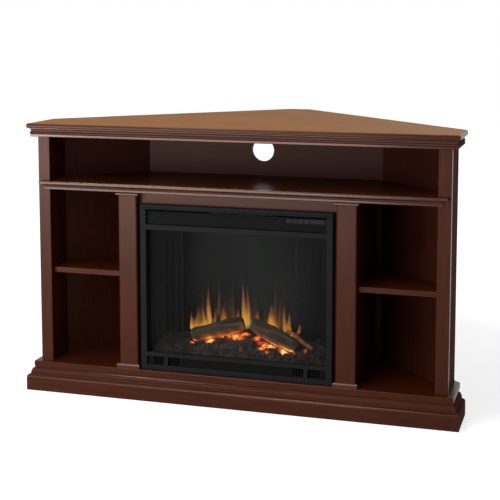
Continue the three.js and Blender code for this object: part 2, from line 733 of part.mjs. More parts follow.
/** The bar across the top: a plain upper face, then a rounded lip that stands out below it. */
function frameCap() {
  const lipTop = bandTop + FRAME_CAP / 2;
  const face = EASE - FRAME_FRONT;
  const profile = [
    [SURROUND_FRONT, frameTop],
    [face, frameTop],
    [face, lipTop],
    ...arc(face, (lipTop + bandTop) / 2, FRAME_LIP + EASE, (lipTop - bandTop) / 2, 90, 270, 8).slice(1, -1),
    [face, bandTop],
    [SURROUND_FRONT, bandTop],
  ];
  return runX(profile, -frameHalf - FIT, frameHalf + FIT);
}

function addFrontFrame() {
  const shape = rectangle(-frameHalf, deckTop, frameHalf, frameTop - FRAME_CAP_RISE);
  shape.holes.push(
    rectangle(-frameInner, midTop, frameInner, bandTop),
    rectangle(-frameInner, windowFoot, frameInner, windowTop),
    rectangle(-frameInner, ventFoot, frameInner, ventTop));
  const plate = upright(shape, -FRAME_FRONT, SURROUND_FRONT, FRAME_EASE);
  const pocket = box(-frameInner, railBack, ventFoot, frameInner, SURROUND_FRONT + FIT, bandTop);
  const inset = FRAME_EASE / 2; // the short uprights start behind the frame's eased edges
  const ventPosts = [-ventPost, ventPost].map((x) => box(
    x - VENT_POST_WIDTH / 2, inset - FRAME_FRONT, ventFoot - FRAME_EASE,
    x + VENT_POST_WIDTH / 2, railBack, ventTop + FRAME_EASE));
  const pieces = [frameCap(), ...ventPosts].map(solidOf);
  const whole = pieces.reduce((solid, piece) => solid.add(piece), solidOf(plate).subtract(solidOf(pocket)));
  add('front_frame', 'black_steel', geometryOf(whole));
}

function addControls() {
  const stripMiddle = bandTop - STRIP_DROP;
  const fasciaTop = bandTop - OUTLET_SLIT;
  const fasciaFoot = midTop + FASCIA_PLAY;
  const fasciaBack = FASCIA_FRONT + FASCIA_THICKNESS;
  const halfHeight = BUTTON_HEIGHT / 2;
  const holes = [];
  for (let index = 0; index < BUTTON_COUNT; index++) {
    const left = stripLeft + index * BUTTON_PITCH;
    holes.push(box(
      left - FIT, FASCIA_FRONT - FIT, stripMiddle - halfHeight - FIT,
      left + BUTTON_WIDTH + FIT, fasciaBack + FIT, stripMiddle + halfHeight + FIT));
    const key = box(
      left, FASCIA_FRONT - BUTTON_PROUD, stripMiddle - halfHeight,
      left + BUTTON_WIDTH, fasciaBack + FIT + BUTTON_FLANGE, stripMiddle + halfHeight);
    const flange = box(
      left - BUTTON_FLANGE_LAP, fasciaBack + FIT, stripMiddle - halfHeight - BUTTON_FLANGE_LAP,
      left + BUTTON_WIDTH + BUTTON_FLANGE_LAP, fasciaBack + FIT + BUTTON_FLANGE,
      stripMiddle + halfHeight + BUTTON_FLANGE_LAP);
    add(`button_${index + 1}`, 'grey_plastic', join([key, flange]));
  }
  holes.push(box(
    lensLeft - FIT, FASCIA_FRONT - FIT, stripMiddle - halfHeight - FIT,
    lensLeft + LENS_WIDTH + FIT, fasciaBack + FIT, stripMiddle + halfHeight + FIT));
  const plate = box(
    -frameInner + FIT, FASCIA_FRONT, fasciaFoot, frameInner - FIT, fasciaBack, fasciaTop);
  add('control_fascia', 'black_plastic', cut(plate, holes));
  add('display_lens', 'lens', box(
    lensLeft, FASCIA_FRONT - LENS_PROUD, stripMiddle - halfHeight,
    lensLeft + LENS_WIDTH, fasciaBack, stripMiddle + halfHeight));
}

function addVentGrille() {
  const front = railBack + FIT;
  const back = front + GRILLE_THICKNESS;
  const slotHeight = (ventTop - ventFoot - (GRILLE_ROWS + 1) * GRILLE_BAR) / GRILLE_ROWS;
  const slotWidth = (GRILLE_CELL_WIDTH - (GRILLE_COLUMNS + 1) * GRILLE_BAR) / GRILLE_COLUMNS;
  const cells = [
    -ventPost - VENT_POST_WIDTH / 2 - GRILLE_CELL_WIDTH,
    -ventPost + VENT_POST_WIDTH / 2,
    ventPost - VENT_POST_WIDTH / 2 - GRILLE_CELL_WIDTH,
    ventPost + VENT_POST_WIDTH / 2,
  ];
  const slots = [];
  for (const cell of cells) {
    for (let column = 0; column < GRILLE_COLUMNS; column++) {
      for (let row = 0; row < GRILLE_ROWS; row++) {
        const x = cell + GRILLE_BAR + column * (slotWidth + GRILLE_BAR);
        const z = ventFoot + GRILLE_BAR + row * (slotHeight + GRILLE_BAR);
        slots.push(box(x, front - FIT, z, x + slotWidth, back + FIT, z + slotHeight));
      }
    }
  }
  const plate = box(
    -frameInner + FIT, front, ventFoot + FIT, frameInner - FIT, back, windowFoot - FIT);
  add('vent_grille', 'black_steel', cut(plate, slots));
}

function addWindow() {
  add('glass_panel', 'glass', box(
    -casingInner + FIT, glassFront, hearthTop + FIT,
    casingInner - FIT, glassFront + GLASS_THICKNESS, ceilingUnder - FIT));
  add('curtain_rod', 'black_steel', cylinderX(
    ROD_RADIUS, -frameInner + FIT, frameInner - FIT, rodDepth, windowTop + ROD_RISE, 12));
}

/** A metal mesh curtain drawn to one side, hanging in even folds from the rod. */
function curtain(x0, x1) {
  const steps = Math.round((x1 - x0) / CURTAIN_FOLD) * CURTAIN_FOLD_STEPS;
  const half = CURTAIN_THICKNESS / 2;
  const wave = (shift) => {
    const points = [];
    for (let step = 0; step <= steps; step++) {
      const x = x0 + (x1 - x0) * step / steps;
      const turn = Math.sin((x - x0) / CURTAIN_FOLD * 2 * Math.PI);
      points.push([x, rodDepth + shift + foldDepth * turn]);
    }
    return points;
  };
  const top = windowTop + ROD_RISE - ROD_RADIUS - FIT;
  return raise([...wave(-half), ...wave(half).reverse()], windowFoot + FIT, top);
}

function addCurtains() {
  const end = frameInner - CURTAIN_MARGIN;
  add('mesh_curtain_left', 'mesh_steel', curtain(-end, -end + CURTAIN_LEFT_WIDTH));
  add('mesh_curtain_right', 'mesh_steel', curtain(end - CURTAIN_RIGHT_WIDTH, end));
}

/** A log from one end to the other: uneven rings round a straight line; swell grows it evenly. */
function log(from, to, radius, seed, swell = 0) {
  const start = new THREE.Vector3(...from);
  const along = new THREE.Vector3(...to).sub(start);
  const length = along.length();
  along.normalize();
  const across = new THREE.Vector3(0, 0, 1).cross(along).normalize();
  const up = new THREE.Vector3().crossVectors(along, across);
  const section = [];
  for (let side = 0; side < LOG_SIDES; side++) {
    const angle = side / LOG_SIDES * 2 * Math.PI;
    section.push([Math.cos(angle), Math.sin(angle)]);
  }
  const rings = [];
  for (let ring = 0; ring <= LOG_RINGS; ring++) {
    const part = ring / LOG_RINGS;
    const reach = part * length + (2 * part - 1) * swell;
    const endTaper = ring === 0 || ring === LOG_RINGS ? LOG_END : 1;
    const wave = LOG_WAVE * Math.sin(part * LOG_WAVE_TURN + seed);
    rings.push(section.map(([a, b], side) => {
      const bark = 1 + wave + BARK_ROUGHNESS * uneven(seed + ring, side);
      const size = radius * endTaper * bark + swell;
      return start.clone()
        .addScaledVector(along, reach)
        .addScaledVector(across, a * size)
        .addScaledVector(up, b * size)
        .toArray();
    }));
  }
  return loft(rings, section);
}

const crestDepth = bedBack - CREST_DEPTH;
const LOGS = [
  {
    name: 'log_left', radius: LOG_RADIUS, seed: 3,
    from: [-LEFT_END, bedFront + LEFT_END_DEPTH, hearthTop + LEFT_END_HEIGHT],
    to: [-CREST_LEFT, crestDepth, hearthTop + CREST_HEIGHT],
  },
  {
    name: 'log_right', radius: LOG_RADIUS, seed: 11,
    from: [CREST_RIGHT, crestDepth, hearthTop + CREST_HEIGHT],
    to: [RIGHT_END, bedFront + RIGHT_END_DEPTH, hearthTop + RIGHT_END_HEIGHT],
  },
  {
    name: 'log_front', radius: FRONT_LOG_RADIUS, seed: 23,
    from: [-FRONT_LOG_LEFT, bedFront + FRONT_LOG_LEFT_DEPTH, hearthTop + FRONT_LOG_LEFT_HEIGHT],
    to: [FRONT_LOG_RIGHT, bedFront + FRONT_LOG_RIGHT_DEPTH, hearthTop + FRONT_LOG_RIGHT_HEIGHT],
  },
];

function placedLog(entry, swell) {
  return log(entry.from, entry.to, entry.radius, entry.seed, swell);
}

/** The coals: a lumpy heap, low at the front and higher at the back, hollowed under the logs. */
function addFire() {
  const x0 = -casingInner + FIT;
  const x1 = casingInner - FIT;
  const foot = hearthTop + FIT;
  const rings = [];
  for (let column = 0; column <= BED_COLUMNS; column++) {
    const x = x0 + (x1 - x0) * column / BED_COLUMNS;
    const rise = BED_RISE * (1 - BED_FALL * (x / x1) ** 2);
    const ring = [];
    for (let row = 0; row <= BED_ROWS; row++) {
      const part = row / BED_ROWS;
      const heap = BED_HEIGHT + rise * Math.sin(part * Math.PI / 2);
      const y = bedFront + (bedBack - bedFront) * part;
      ring.push([x, y, foot + heap + BED_LUMP * uneven(column, row)]);
    }
    ring.push([x, bedBack, foot], [x, bedFront, foot]);
    rings.push(ring);
  }
  const ends = rings[0].map(([, y, z]) => [y, z]);
  const hollows = LOGS.map((entry) => placedLog(entry, FIT));
  add('ember_bed', 'ember', cut(loft(rings, ends), hollows));
  for (const entry of LOGS) {
    add(entry.name, 'log', placedLog(entry, 0));
  }
}

/** The screen behind the logs on which the flames play, and the turning rod behind it. */
function addFlameEffect() {
  add('flame_screen', 'flame_screen', box(
    -casingInner + FIT, screenFront, hearthTop + FIT,
    casingInner - FIT, screenBack, ceilingUnder - FIT));
  const half = casingHalf - FIT;
  const pieces = [cylinderX(FLICKER_SHAFT, -half, half, flickerDepth, flickerHeight, 12)];
  const pitch = 2 * (casingInner - PADDLE_LENGTH) / FLICKER_PADDLES;
  for (let index = 0; index < FLICKER_PADDLES; index++) {
    const x = (index - (FLICKER_PADDLES - 1) / 2) * pitch;
    pieces.push(new THREE.BoxGeometry(PADDLE_LENGTH, PADDLE_WIDTH, PADDLE_THICKNESS)
      .rotateX(THREE.MathUtils.degToRad(index * FLICKER_TURN))
      .translate(x, flickerDepth, flickerHeight));
  }
  add('flicker_rod', 'bright_metal', join(pieces));
}

/** The blower over the window: a housing on the plate there and a bladed drum turning in it. */
function addBlower() {
  const half = BLOWER_LENGTH / 2;
  const top = casingTop - SHEET - BLOWER_HEADROOM;
  const radius = (top - ceilingTop) / 2;
  const back = BLOWER_FRONT + 2 * radius;
  const y = BLOWER_FRONT + radius;
  const z = ceilingTop + radius;
  const bore = radius - BLOWER_SHELL;
  const inner = half - BLOWER_WALL;
  add('blower_housing', 'casing_steel', cut(
    box(-half, BLOWER_FRONT, ceilingTop, half, back, top), [
      cylinderX(bore, -inner, inner, y, z, 28),
      box(-inner, BLOWER_FRONT - FIT, z, inner, y, top - BLOWER_WALL),
      box(-inner, y, ceilingTop + BLOWER_WALL, inner, back + FIT, z),
      cylinderX(DRUM_SHAFT + FIT, -half - FIT, half + FIT, y, z),
    ]));

  const tipRadius = bore - DRUM_PLAY;
  const rootRadius = tipRadius - BLADE_LENGTH;
  const star = [];
  for (let blade = 0; blade < DRUM_BLADES; blade++) {
    const angle = blade / DRUM_BLADES * 2 * Math.PI;
    const corners = [
      [rootRadius, -BLADE_ROOT], [tipRadius, 0], [tipRadius, BLADE_TIP], [rootRadius, BLADE_ROOT]];
    for (const [reach, turn] of corners) {
      star.push([y + reach * Math.cos(angle + turn), z + reach * Math.sin(angle + turn)]);
    }
  }
  const bladeHalf = inner - DRUM_PLAY;
  add('blower_drum', 'bright_metal', join([
    runX(star, -bladeHalf, bladeHalf),
    cylinderX(DRUM_SHAFT, -half, half, y, z, 12),
  ]));
}

/** The gland through which the mains lead enters the casing. */
function addGland() {
  const seat = CASING_BACK + FIT;
  const profile = [
    [GLAND_BORE, CASING_BACK - SHEET],
    [GLAND_RADIUS, CASING_BACK - SHEET],
    [GLAND_RADIUS, seat],
    [GLAND_FLANGE, seat],
    [GLAND_FLANGE, seat + GLAND_FLANGE_THICKNESS],
    [GLAND_RADIUS, seat + GLAND_FLANGE_THICKNESS],
    [GLAND_BORE + EASE, seat + GLAND_LENGTH],
    [GLAND_BORE, seat + GLAND_LENGTH],
    [GLAND_BORE, CASING_BACK - SHEET],
  ].map(([radius, y]) => new THREE.Vector2(radius, y));
  add('cord_gland', 'black_plastic', new THREE.LatheGeometry(profile, 16)
    .translate(glandX, 0, glandHeight));
}

// ---------------------------------------------------------------- assembly

addTop();
addCrown();
addPosts();
addTopRail();
addSidePanels();
addBackPanels();
addRearLeg();
addMediaShelf();
addSurround();
addPartitions();
addPilasters();
addSideShelves();
addPins();
addDeck();
addBase();
addCasing();
addFrontFrame();
addControls();
addVentGrille();
addWindow();
addCurtains();
addFire();
addFlameEffect();
addBlower();
addGland();

const cabinet = new THREE.Group();
cabinet.name = 'corner_fireplace';
cabinet.position.y = -(rearEdge - PLINTH_REACH) / 2;
cabinet.add(...meshes);

export default cabinet;
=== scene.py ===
# %% [markdown]
# # A corner fireplace in dark cherry
# The cabinet, the steel firebox and every moving piece come from the CAD frame, already in metres and
# already in place. Here they get their finishes, and the pieces that need a finer surface than CAD
# gives, such as the logs, the coals, the flames and the woven curtains, are made as real meshes.

# %% Load the frame
import math

import bpy
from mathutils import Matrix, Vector, noise


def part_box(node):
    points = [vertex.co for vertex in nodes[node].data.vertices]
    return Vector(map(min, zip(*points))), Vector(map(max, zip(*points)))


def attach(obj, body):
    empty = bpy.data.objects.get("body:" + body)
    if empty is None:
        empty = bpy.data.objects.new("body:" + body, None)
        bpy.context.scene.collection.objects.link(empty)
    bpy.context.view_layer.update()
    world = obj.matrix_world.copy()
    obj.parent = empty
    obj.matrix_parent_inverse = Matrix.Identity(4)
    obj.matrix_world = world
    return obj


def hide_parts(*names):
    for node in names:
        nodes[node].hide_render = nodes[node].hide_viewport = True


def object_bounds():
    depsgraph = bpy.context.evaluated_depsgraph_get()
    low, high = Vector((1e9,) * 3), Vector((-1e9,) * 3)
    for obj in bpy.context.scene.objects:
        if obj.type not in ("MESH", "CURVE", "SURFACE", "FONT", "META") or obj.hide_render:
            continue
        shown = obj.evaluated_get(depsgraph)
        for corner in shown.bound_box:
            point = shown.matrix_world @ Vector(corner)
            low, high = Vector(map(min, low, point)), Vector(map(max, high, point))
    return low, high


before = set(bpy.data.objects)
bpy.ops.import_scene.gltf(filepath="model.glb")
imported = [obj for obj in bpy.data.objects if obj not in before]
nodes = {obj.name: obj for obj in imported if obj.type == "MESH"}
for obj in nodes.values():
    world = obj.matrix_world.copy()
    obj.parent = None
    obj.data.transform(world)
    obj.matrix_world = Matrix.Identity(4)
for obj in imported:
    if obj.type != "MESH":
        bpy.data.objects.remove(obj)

MM = 0.001               # Blender counts in metres, and small parts are easier to read in millimetres
cad_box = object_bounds()
print("loaded", len(nodes), "nodes; the frame is", [round(side, 4) for side in cad_box[1] - cad_box[0]])

# %% [markdown]
# ## The camera
# The photograph was taken a little to the right of the middle and a little above the cabinet's top.
# Its upright edges stay nearly parallel, as a lens that is shifted down makes them. Part of that is a
# shift here too, and the rest a small tilt, so that other views keep the cabinet inside the picture.

# %% Camera
CAMERA_PLACE = (1.009, -3.536, 1.118)
CAMERA_TURN = math.radians(16.83)   # to the left
CAMERA_TILT = math.radians(6.34)    # downwards
FOCAL_PIXELS = 1186                 # measured in a picture 500 pixels wide
PICTURE = 500
LENS_SHIFT = -0.2

camera_data = bpy.data.cameras.new("studio_camera")
camera_data.sensor_width = 36
camera_data.lens = camera_data.sensor_width * FOCAL_PIXELS / PICTURE
camera_data.shift_y = LENS_SHIFT
camera = bpy.data.objects.new("studio_camera", camera_data)
camera.location = CAMERA_PLACE
camera.rotation_euler = (math.pi / 2 - CAMERA_TILT, 0, CAMERA_TURN)
bpy.context.collection.objects.link(camera)
bpy.context.scene.camera = camera
print("camera with a lens of", round(camera_data.lens, 1), "mm")

# %% [markdown]
# ## Tools for finishes
# A finish in Blender is a small graph of nodes that ends in the Principled shader. These helpers only
# shorten the wiring: `make` adds one node and joins what it is given, `ramp` turns a grey value into
# colours, and `connect` plugs a result into the shader. Values that are the same all over a surface
# are set on the shader itself.

# %% Finish helpers
def new_finish(name, **sockets):
    """A material with constant shader values, such as Roughness=0.4 or Coat_Weight=0.3."""
    material = bpy.data.materials.new(name)
    material.use_nodes = True
    shader = material.node_tree.nodes["Principled BSDF"]
    for socket, value in sockets.items():
        shader.inputs[socket.replace("_", " ")].default_value = value
    return material


def make(material, kind, inputs, output=0, **settings):
    """Adds a shader node and gives one of its outputs. Inputs are numbers or other outputs."""
    tree = material.node_tree
    node = tree.nodes.new("ShaderNode" + kind)
    for key, value in settings.items():
        setattr(node, key, value)
    for key, value in inputs.items():
        if isinstance(value, bpy.types.NodeSocket):
            tree.links.new(value, node.inputs[key])
        else:
            node.inputs[key].default_value = value
    return node.outputs[output]


def connect(material, output, socket):
    shader = material.node_tree.nodes["Principled BSDF"]
    material.node_tree.links.new(output, shader.inputs[socket])


def ramp(material, value, stops):
    """Colours along a grey value; stops are (place, (red, green, blue)) in rising order."""
    node = material.node_tree.nodes.new("ShaderNodeValToRGB")
    elements = node.color_ramp.elements
    elements[0].position, elements[1].position = stops[0][0], stops[-1][0]
    elements[0].color, elements[1].color = (*stops[0][1], 1), (*stops[-1][1], 1)
    for place, colour in stops[1:-1]:
        elements.new(place).color = (*colour, 1)
    material.node_tree.links.new(value, node.inputs[0])
    return node.outputs[0]


def remap(material, value, low, high, start=0.0, end=1.0):
    return make(material, "MapRange", {
        "Value": value, "From Min": start, "From Max": end, "To Min": low, "To Max": high})


def compute(material, operation, first, second, clamp=False):
    return make(material, "Math", {0: first, 1: second}, operation=operation, use_clamp=clamp)


def in_place(material):
    """The point on the surface, in metres, as the piece lies at rest."""
    return make(material, "TexCoord", {}, output="Object")


def stretched(material, scale):
    return make(material, "Mapping", {"Vector": in_place(material), "Scale": scale})


def speckle(material, where, scale, detail=4.0, roughness=0.5, distortion=0.0):
    return make(material, "TexNoise", {
        "Vector": where, "Scale": scale, "Detail": detail, "Roughness": roughness,
        "Distortion": distortion})


def mix(material, share, first, second):
    node = material.node_tree.nodes.new("ShaderNodeMix")
    node.data_type = "RGBA"
    for index, value in ((0, share), (6, first), (7, second)):
        if isinstance(value, bpy.types.NodeSocket):
            material.node_tree.links.new(value, node.inputs[index])
        else:
            node.inputs[index].default_value = value if index == 0 else (*value, 1)
    return node.outputs[2]


def raised(material, height, distance, strength=1.0, below=None):
    """A bump of that height in metres, over another bump if one is given."""
    inputs = {"Height": height, "Distance": distance, "Strength": strength}
    if below is not None:
        inputs["Normal"] = below
    return make(material, "Bump", inputs)


def worn_and_lit_edges(material, radius):
    """1 along outer and inner edges and 0 on flat stretches, from how a rounded normal would turn."""
    rounded = make(material, "Bevel", {"Radius": radius})
    plain = make(material, "NewGeometry", {}, output="Normal")
    turned = make(material, "VectorMath", {0: rounded, 1: plain}, output="Value",
                  operation="DOT_PRODUCT")
    return remap(material, turned, 1.0, 0.0, 0.75, 1.0)


print("finish helpers ready")

# %% [markdown]
# ## Stained wood
# The real cabinet is veneer and solid trim under a dark cherry stain, with a satin lacquer on top. The
# stain nearly hides the grain, so it shows as soft streaks a few millimetres wide that run the length of
# each board. Stretching one axis of the texture space gives such streaks: that axis is the board's own
# length, so posts and rails differ only there. Edges are painted lighter and warmer: partly worn stain,
# partly a painted highlight where edges catch the light.
#
# The lacquer is toned, so even its shine is warm. The front mouldings are rubbed out to a finer gloss
# than the flat boards, and catch sharper lines of light. The side faces are matt, because they are seen
# at a low angle, where a gloss would mirror the white surround. The upper face of the top is painted a
# much lighter, golden colour than its cherry edges: painted light from above.

# %% Wood finishes
GRAIN_STRETCH = 0.06     # how much slower the pattern changes along the grain than across it
# how fine each pattern is: the higher, the finer
STREAK_SCALE = 150
CLOUD_SCALE = 6
PORE_SCALE = 1100
LACQUER_SCALE = 240


def along(grain):
    """Texture scales along the three axes, with one of them drawn out."""
    return [GRAIN_STRETCH if axis == grain else 1.0 for axis in "xyz"]


WOOD_EDGE_WEAR_AND_HIGHLIGHT = 2.4       # how many times lighter the edges are than the lightest stain, as wear and painted highlight
WOOD_EDGE_WEAR_AND_HIGHLIGHT_SHARE = 0.5         # how much of that shows


def stain_with_lit_edges(wood, tone, dark, middle, light):
    """The stain over a grey tone, lighter along the edges: partly worn stain, partly a painted
    highlight.
    """
    stain = ramp(wood, tone, [(0.32, dark), (0.52, middle), (0.72, light)])
    worn_and_lit = tuple(min(1, WOOD_EDGE_WEAR_AND_HIGHLIGHT * channel) for channel in light)
    # the edges are painted lighter, as wear and as the highlight that edges catch
    edges = compute(wood, "MULTIPLY", worn_and_lit_edges(wood, 1.6 * MM), WOOD_EDGE_WEAR_AND_HIGHLIGHT_SHARE)
    return mix(wood, edges, stain, worn_and_lit)


LACQUER_TINT = (1.0, 0.82, 0.73, 1)     # the lacquer is toned, so its shine is warm
MATT_TOP = 0.44                         # how much rougher the wide upper face is than its edges


def stained_wood(name, grain, stain, roughness=0.3, shine=0.145, relief=1.0, edge_stain=None):
    """Stain holds a dark, a middle and a light colour; relief is how far the grain can be felt, and
    edge_stain is for all but the upper face."""
    wood = new_finish(name, Specular_IOR_Level=shine, Specular_Tint=LACQUER_TINT)
    board = stretched(wood, along(grain))
    streaks = speckle(wood, board, STREAK_SCALE, 6, 0.62, 0.6)
    clouds = speckle(wood, in_place(wood), CLOUD_SCALE, 3)
    pores = speckle(wood, board, PORE_SCALE, 3, 0.7)
    tone = compute(wood, "ADD", compute(wood, "MULTIPLY", streaks, 0.65),
                   compute(wood, "MULTIPLY", clouds, 0.35))
    colour = stain_with_lit_edges(wood, tone, *stain)
    rough = remap(wood, streaks, roughness - 0.05, roughness + 0.07)
    if edge_stain:
        # the upper face keeps the first colours, which for the top are painted light from above; the
        # other faces take edge_stain
        facing = make(wood, "NewGeometry", {}, output="Normal")
        upwards = make(wood, "SeparateXYZ", {"Vector": facing}, output="Z")
        flat = remap(wood, upwards, 0, 1, 0.7, 0.97)
        colour = mix(wood, flat, stain_with_lit_edges(wood, tone, *edge_stain), colour)
        rough = compute(wood, "ADD", rough, compute(wood, "MULTIPLY", flat, MATT_TOP))
    connect(wood, colour, "Base Color")
    connect(wood, rough, "Roughness")
    grain_bump = raised(wood, compute(wood, "MULTIPLY", streaks, pores), 0.3 * MM, 0.4 * relief)
    lacquer = speckle(wood, in_place(wood), LACQUER_SCALE, 1)
    connect(wood, raised(wood, lacquer, 0.2 * MM, 0.2 * relief, grain_bump), "Normal")
    return wood


# a dark, a middle and a light colour for each set
CHERRY = ((0.0275, 0.0043, 0.0012), (0.0405, 0.0072, 0.0021), (0.0580, 0.0122, 0.0042))
# SHADED is the same cherry painted darker: painted shade for the boards inside the bays and at the back
SHADED = ((0.0160, 0.0032, 0.0015), (0.0240, 0.0050, 0.0026), (0.0360, 0.0083, 0.0044))
# the upper face of the top, painted lighter and more golden than the cherry: painted light from above
TOP_PAINTED_LIGHT = ((0.208, 0.0820, 0.0200), (0.255, 0.1050, 0.0280), (0.312, 0.1350, 0.0400))

cherry = {grain: stained_wood("cherry_along_" + grain, grain, CHERRY) for grain in "xz"}
moulding_cherry = stained_wood("moulding_cherry", "x", CHERRY, roughness=0.19, shine=0.34, relief=0.3)
base_cherry = stained_wood("base_cherry", "x", CHERRY, roughness=0.17, shine=0.16, relief=0.3)
side_cherry = {grain: stained_wood("side_cherry_along_" + grain, grain, CHERRY, roughness=0.75,
                                   shine=0.02) for grain in "yz"}
shaded = {grain: stained_wood("shaded_cherry_along_" + grain, grain, SHADED, roughness=0.42,
                              shine=0.08) for grain in "xz"}
top_painted_light = stained_wood("top_painted_light_finish", "x", TOP_PAINTED_LIGHT, shine=0.16, edge_stain=CHERRY)
woods = [*cherry.values(), moulding_cherry, base_cherry, *side_cherry.values(), *shaded.values(),
         top_painted_light]
print("wood finishes:", [wood.name for wood in woods])

# %% [markdown]
# ## Putting wood on the boards
# A CAD node keeps its mesh; it gets a material slot, smooth shading and, on some boards, a modifier.
# Real boards never have knife edges, so the shelves and the surround get a narrow bevel, which also
# gives their edges the thin line of light that the photograph shows. Corners between nearly flat facets
# are shaded smooth, which turns the faceted mouldings into round ones.

# %% Dress the boards
SMOOTH_ANGLE = math.radians(38)     # flatter corners are shaded round
EASE_ANGLE = math.radians(50)       # sharper edges are eased


def dress(finish, *names, ease=0.0):
    """Gives CAD nodes a finish, smooth shading and, with ease, eased edges of that width."""
    for name in names:
        node = nodes[name]
        if not node.material_slots:
            node.data.materials.append(None)
        for slot in node.material_slots:
            slot.material = finish
        node.data.polygons.foreach_set("use_smooth", [True] * len(node.data.polygons))
        node.data.set_sharp_from_angle(angle=SMOOTH_ANGLE)
        if ease:
            bevel = node.modifiers.new("eased_edges", "BEVEL")
            bevel.width = ease
            bevel.segments = 2
            bevel.limit_method = "ANGLE"
            bevel.angle_limit = EASE_ANGLE
            bevel.harden_normals = True


EASE = 0.9 * MM
SIDES = ("left", "right")


def both(name):
    return [f"{side}_{name}" for side in SIDES]


dress(top_painted_light, "top_panel")
dress(moulding_cherry, "crown_front", "shelf_nosing", *both("pilaster_cap"), *both("pilaster_foot"))
dress(base_cherry, "base_front")
dress(cherry["x"], "bottom_panel")
dress(side_cherry["y"], "crown_left", "crown_right", "base_left", "base_right")
dress(cherry["x"], "media_shelf", "firebox_surround", *both("shelf"), ease=EASE)
dress(cherry["z"], *both("post"), *both("pilaster"))
dress(side_cherry["z"], *both("side_panel"))
# painted shade: the inner and rear boards take the darker cherry
dress(shaded["x"], "top_rail", "centre_back_panel")
dress(shaded["z"], *both("partition"), *both("back_panel"), "rear_leg")
print("boards dressed")

# %% [markdown]
# ## Black steel, plastic and glass
# The firebox has a satin powder coat: very dark grey, with a fine even grain that scatters light, and
# touched edges painted lighter, partly as wear and partly as a painted highlight. The casing behind it
# is plain heat-proof black. The control strip is moulded plastic, the window a lightly smoked pane, and
# the screen behind the fire is smoked too, so that it stays dark until the flames play on it. Its ends
# carry painted shade, darkest behind the curtains.

# %% Metal, plastic and glass finishes
COAT_EDGE_WEAR_AND_HIGHLIGHT = 2.2     # how many times lighter a touched edge is, as wear and painted highlight
COAT_EDGE_WEAR_AND_HIGHLIGHT_SHARE = 0.35      # how much of that shows


def powder_coat(name, dark, light, roughness, shine=0.04, grain=0.12):
    """A satin coat between two colours; grain is its relief in millimetres."""
    coat = new_finish(name, Specular_IOR_Level=shine)
    fine = speckle(coat, in_place(coat), 1600, 3, 0.6)
    broad = speckle(coat, in_place(coat), 22, 3)
    tone = compute(coat, "ADD", compute(coat, "MULTIPLY", fine, 0.5),
                   compute(coat, "MULTIPLY", broad, 0.5))
    colour = ramp(coat, tone, [(0.3, dark), (0.7, light)])
    # touched edges painted lighter: partly wear, partly a painted highlight
    worn_and_lit_coat = tuple(min(1, COAT_EDGE_WEAR_AND_HIGHLIGHT * channel) for channel in light)
    share = compute(coat, "MULTIPLY", worn_and_lit_edges(coat, 1.2 * MM), COAT_EDGE_WEAR_AND_HIGHLIGHT_SHARE)
    connect(coat, mix(coat, share, colour, worn_and_lit_coat), "Base Color")
    connect(coat, remap(coat, broad, roughness - 0.06, roughness + 0.06), "Roughness")
    connect(coat, raised(coat, fine, grain * MM, 0.6), "Normal")
    return coat


frame_coat = powder_coat("satin_black_coat", (0.0064, 0.0065, 0.0071), (0.0106, 0.0109, 0.0116), 0.48)
casing_coat = powder_coat("heatproof_black", (0.0030, 0.0030, 0.0032), (0.0050, 0.0050, 0.0052), 0.7)
fascia_plastic = powder_coat("fascia_plastic", (0.0050, 0.0051, 0.0055), (0.0078, 0.0080, 0.0084), 0.45,
                             shine=0.015)
key_plastic = powder_coat("key_plastic", (0.0140, 0.0130, 0.0160), (0.0205, 0.0193, 0.0232), 0.4)
lens_plastic = powder_coat("lens_plastic", (0.0115, 0.0108, 0.0133), (0.0156, 0.0148, 0.0178), 0.22,
                           grain=0.02)
wire_steel = powder_coat("blackened_wire", (0.0100, 0.0103, 0.0100), (0.0172, 0.0176, 0.0172), 0.34,
                         shine=0.06)


def brushed(name, colour, grain, roughness):
    """Bright metal with fine scratches along one axis."""
    metal = new_finish(name, Metallic=1.0)
    lines = speckle(metal, stretched(metal, along(grain)), 2600, 4, 0.7)
    darker = tuple(0.75 * channel for channel in colour)
    connect(metal, ramp(metal, lines, [(0.3, darker), (0.7, colour)]), "Base Color")
    connect(metal, remap(metal, lines, roughness - 0.08, roughness + 0.12), "Roughness")
    connect(metal, raised(metal, lines, 0.05 * MM, 0.4), "Normal")
    return metal


pin_steel = brushed("zinc_plated_steel", (0.60, 0.60, 0.58), "x", 0.3)
bright_metal = brushed("bright_aluminium", (0.75, 0.75, 0.76), "x", 0.25)


def smoked_pane():
    """Glass that lets nine tenths of the light straight through, a little uneven from wiping."""
    pane = new_finish("smoked_glass", Alpha=0.1, Specular_IOR_Level=0.15)
    smears = speckle(pane, stretched(pane, (1.6, 1.0, 0.8)), 4, 3, 0.6, 0.8)
    connect(pane, ramp(pane, smears, [(0.3, (0.010, 0.011, 0.010)), (0.7, (0.018, 0.020, 0.018))]),
            "Base Color")
    connect(pane, remap(pane, smears, 0.06, 0.16, 0.3, 0.7), "Roughness")
    connect(pane, remap(pane, smears, 0.07, 0.13, 0.3, 0.7), "Alpha")
    pane.surface_render_method = "BLENDED"
    return pane


# how far from the middle the painted shade behind the curtains begins, and where it is darkest
CURTAIN_SHADE_START, CURTAIN_SHADE_FULL = 130 * MM, 210 * MM


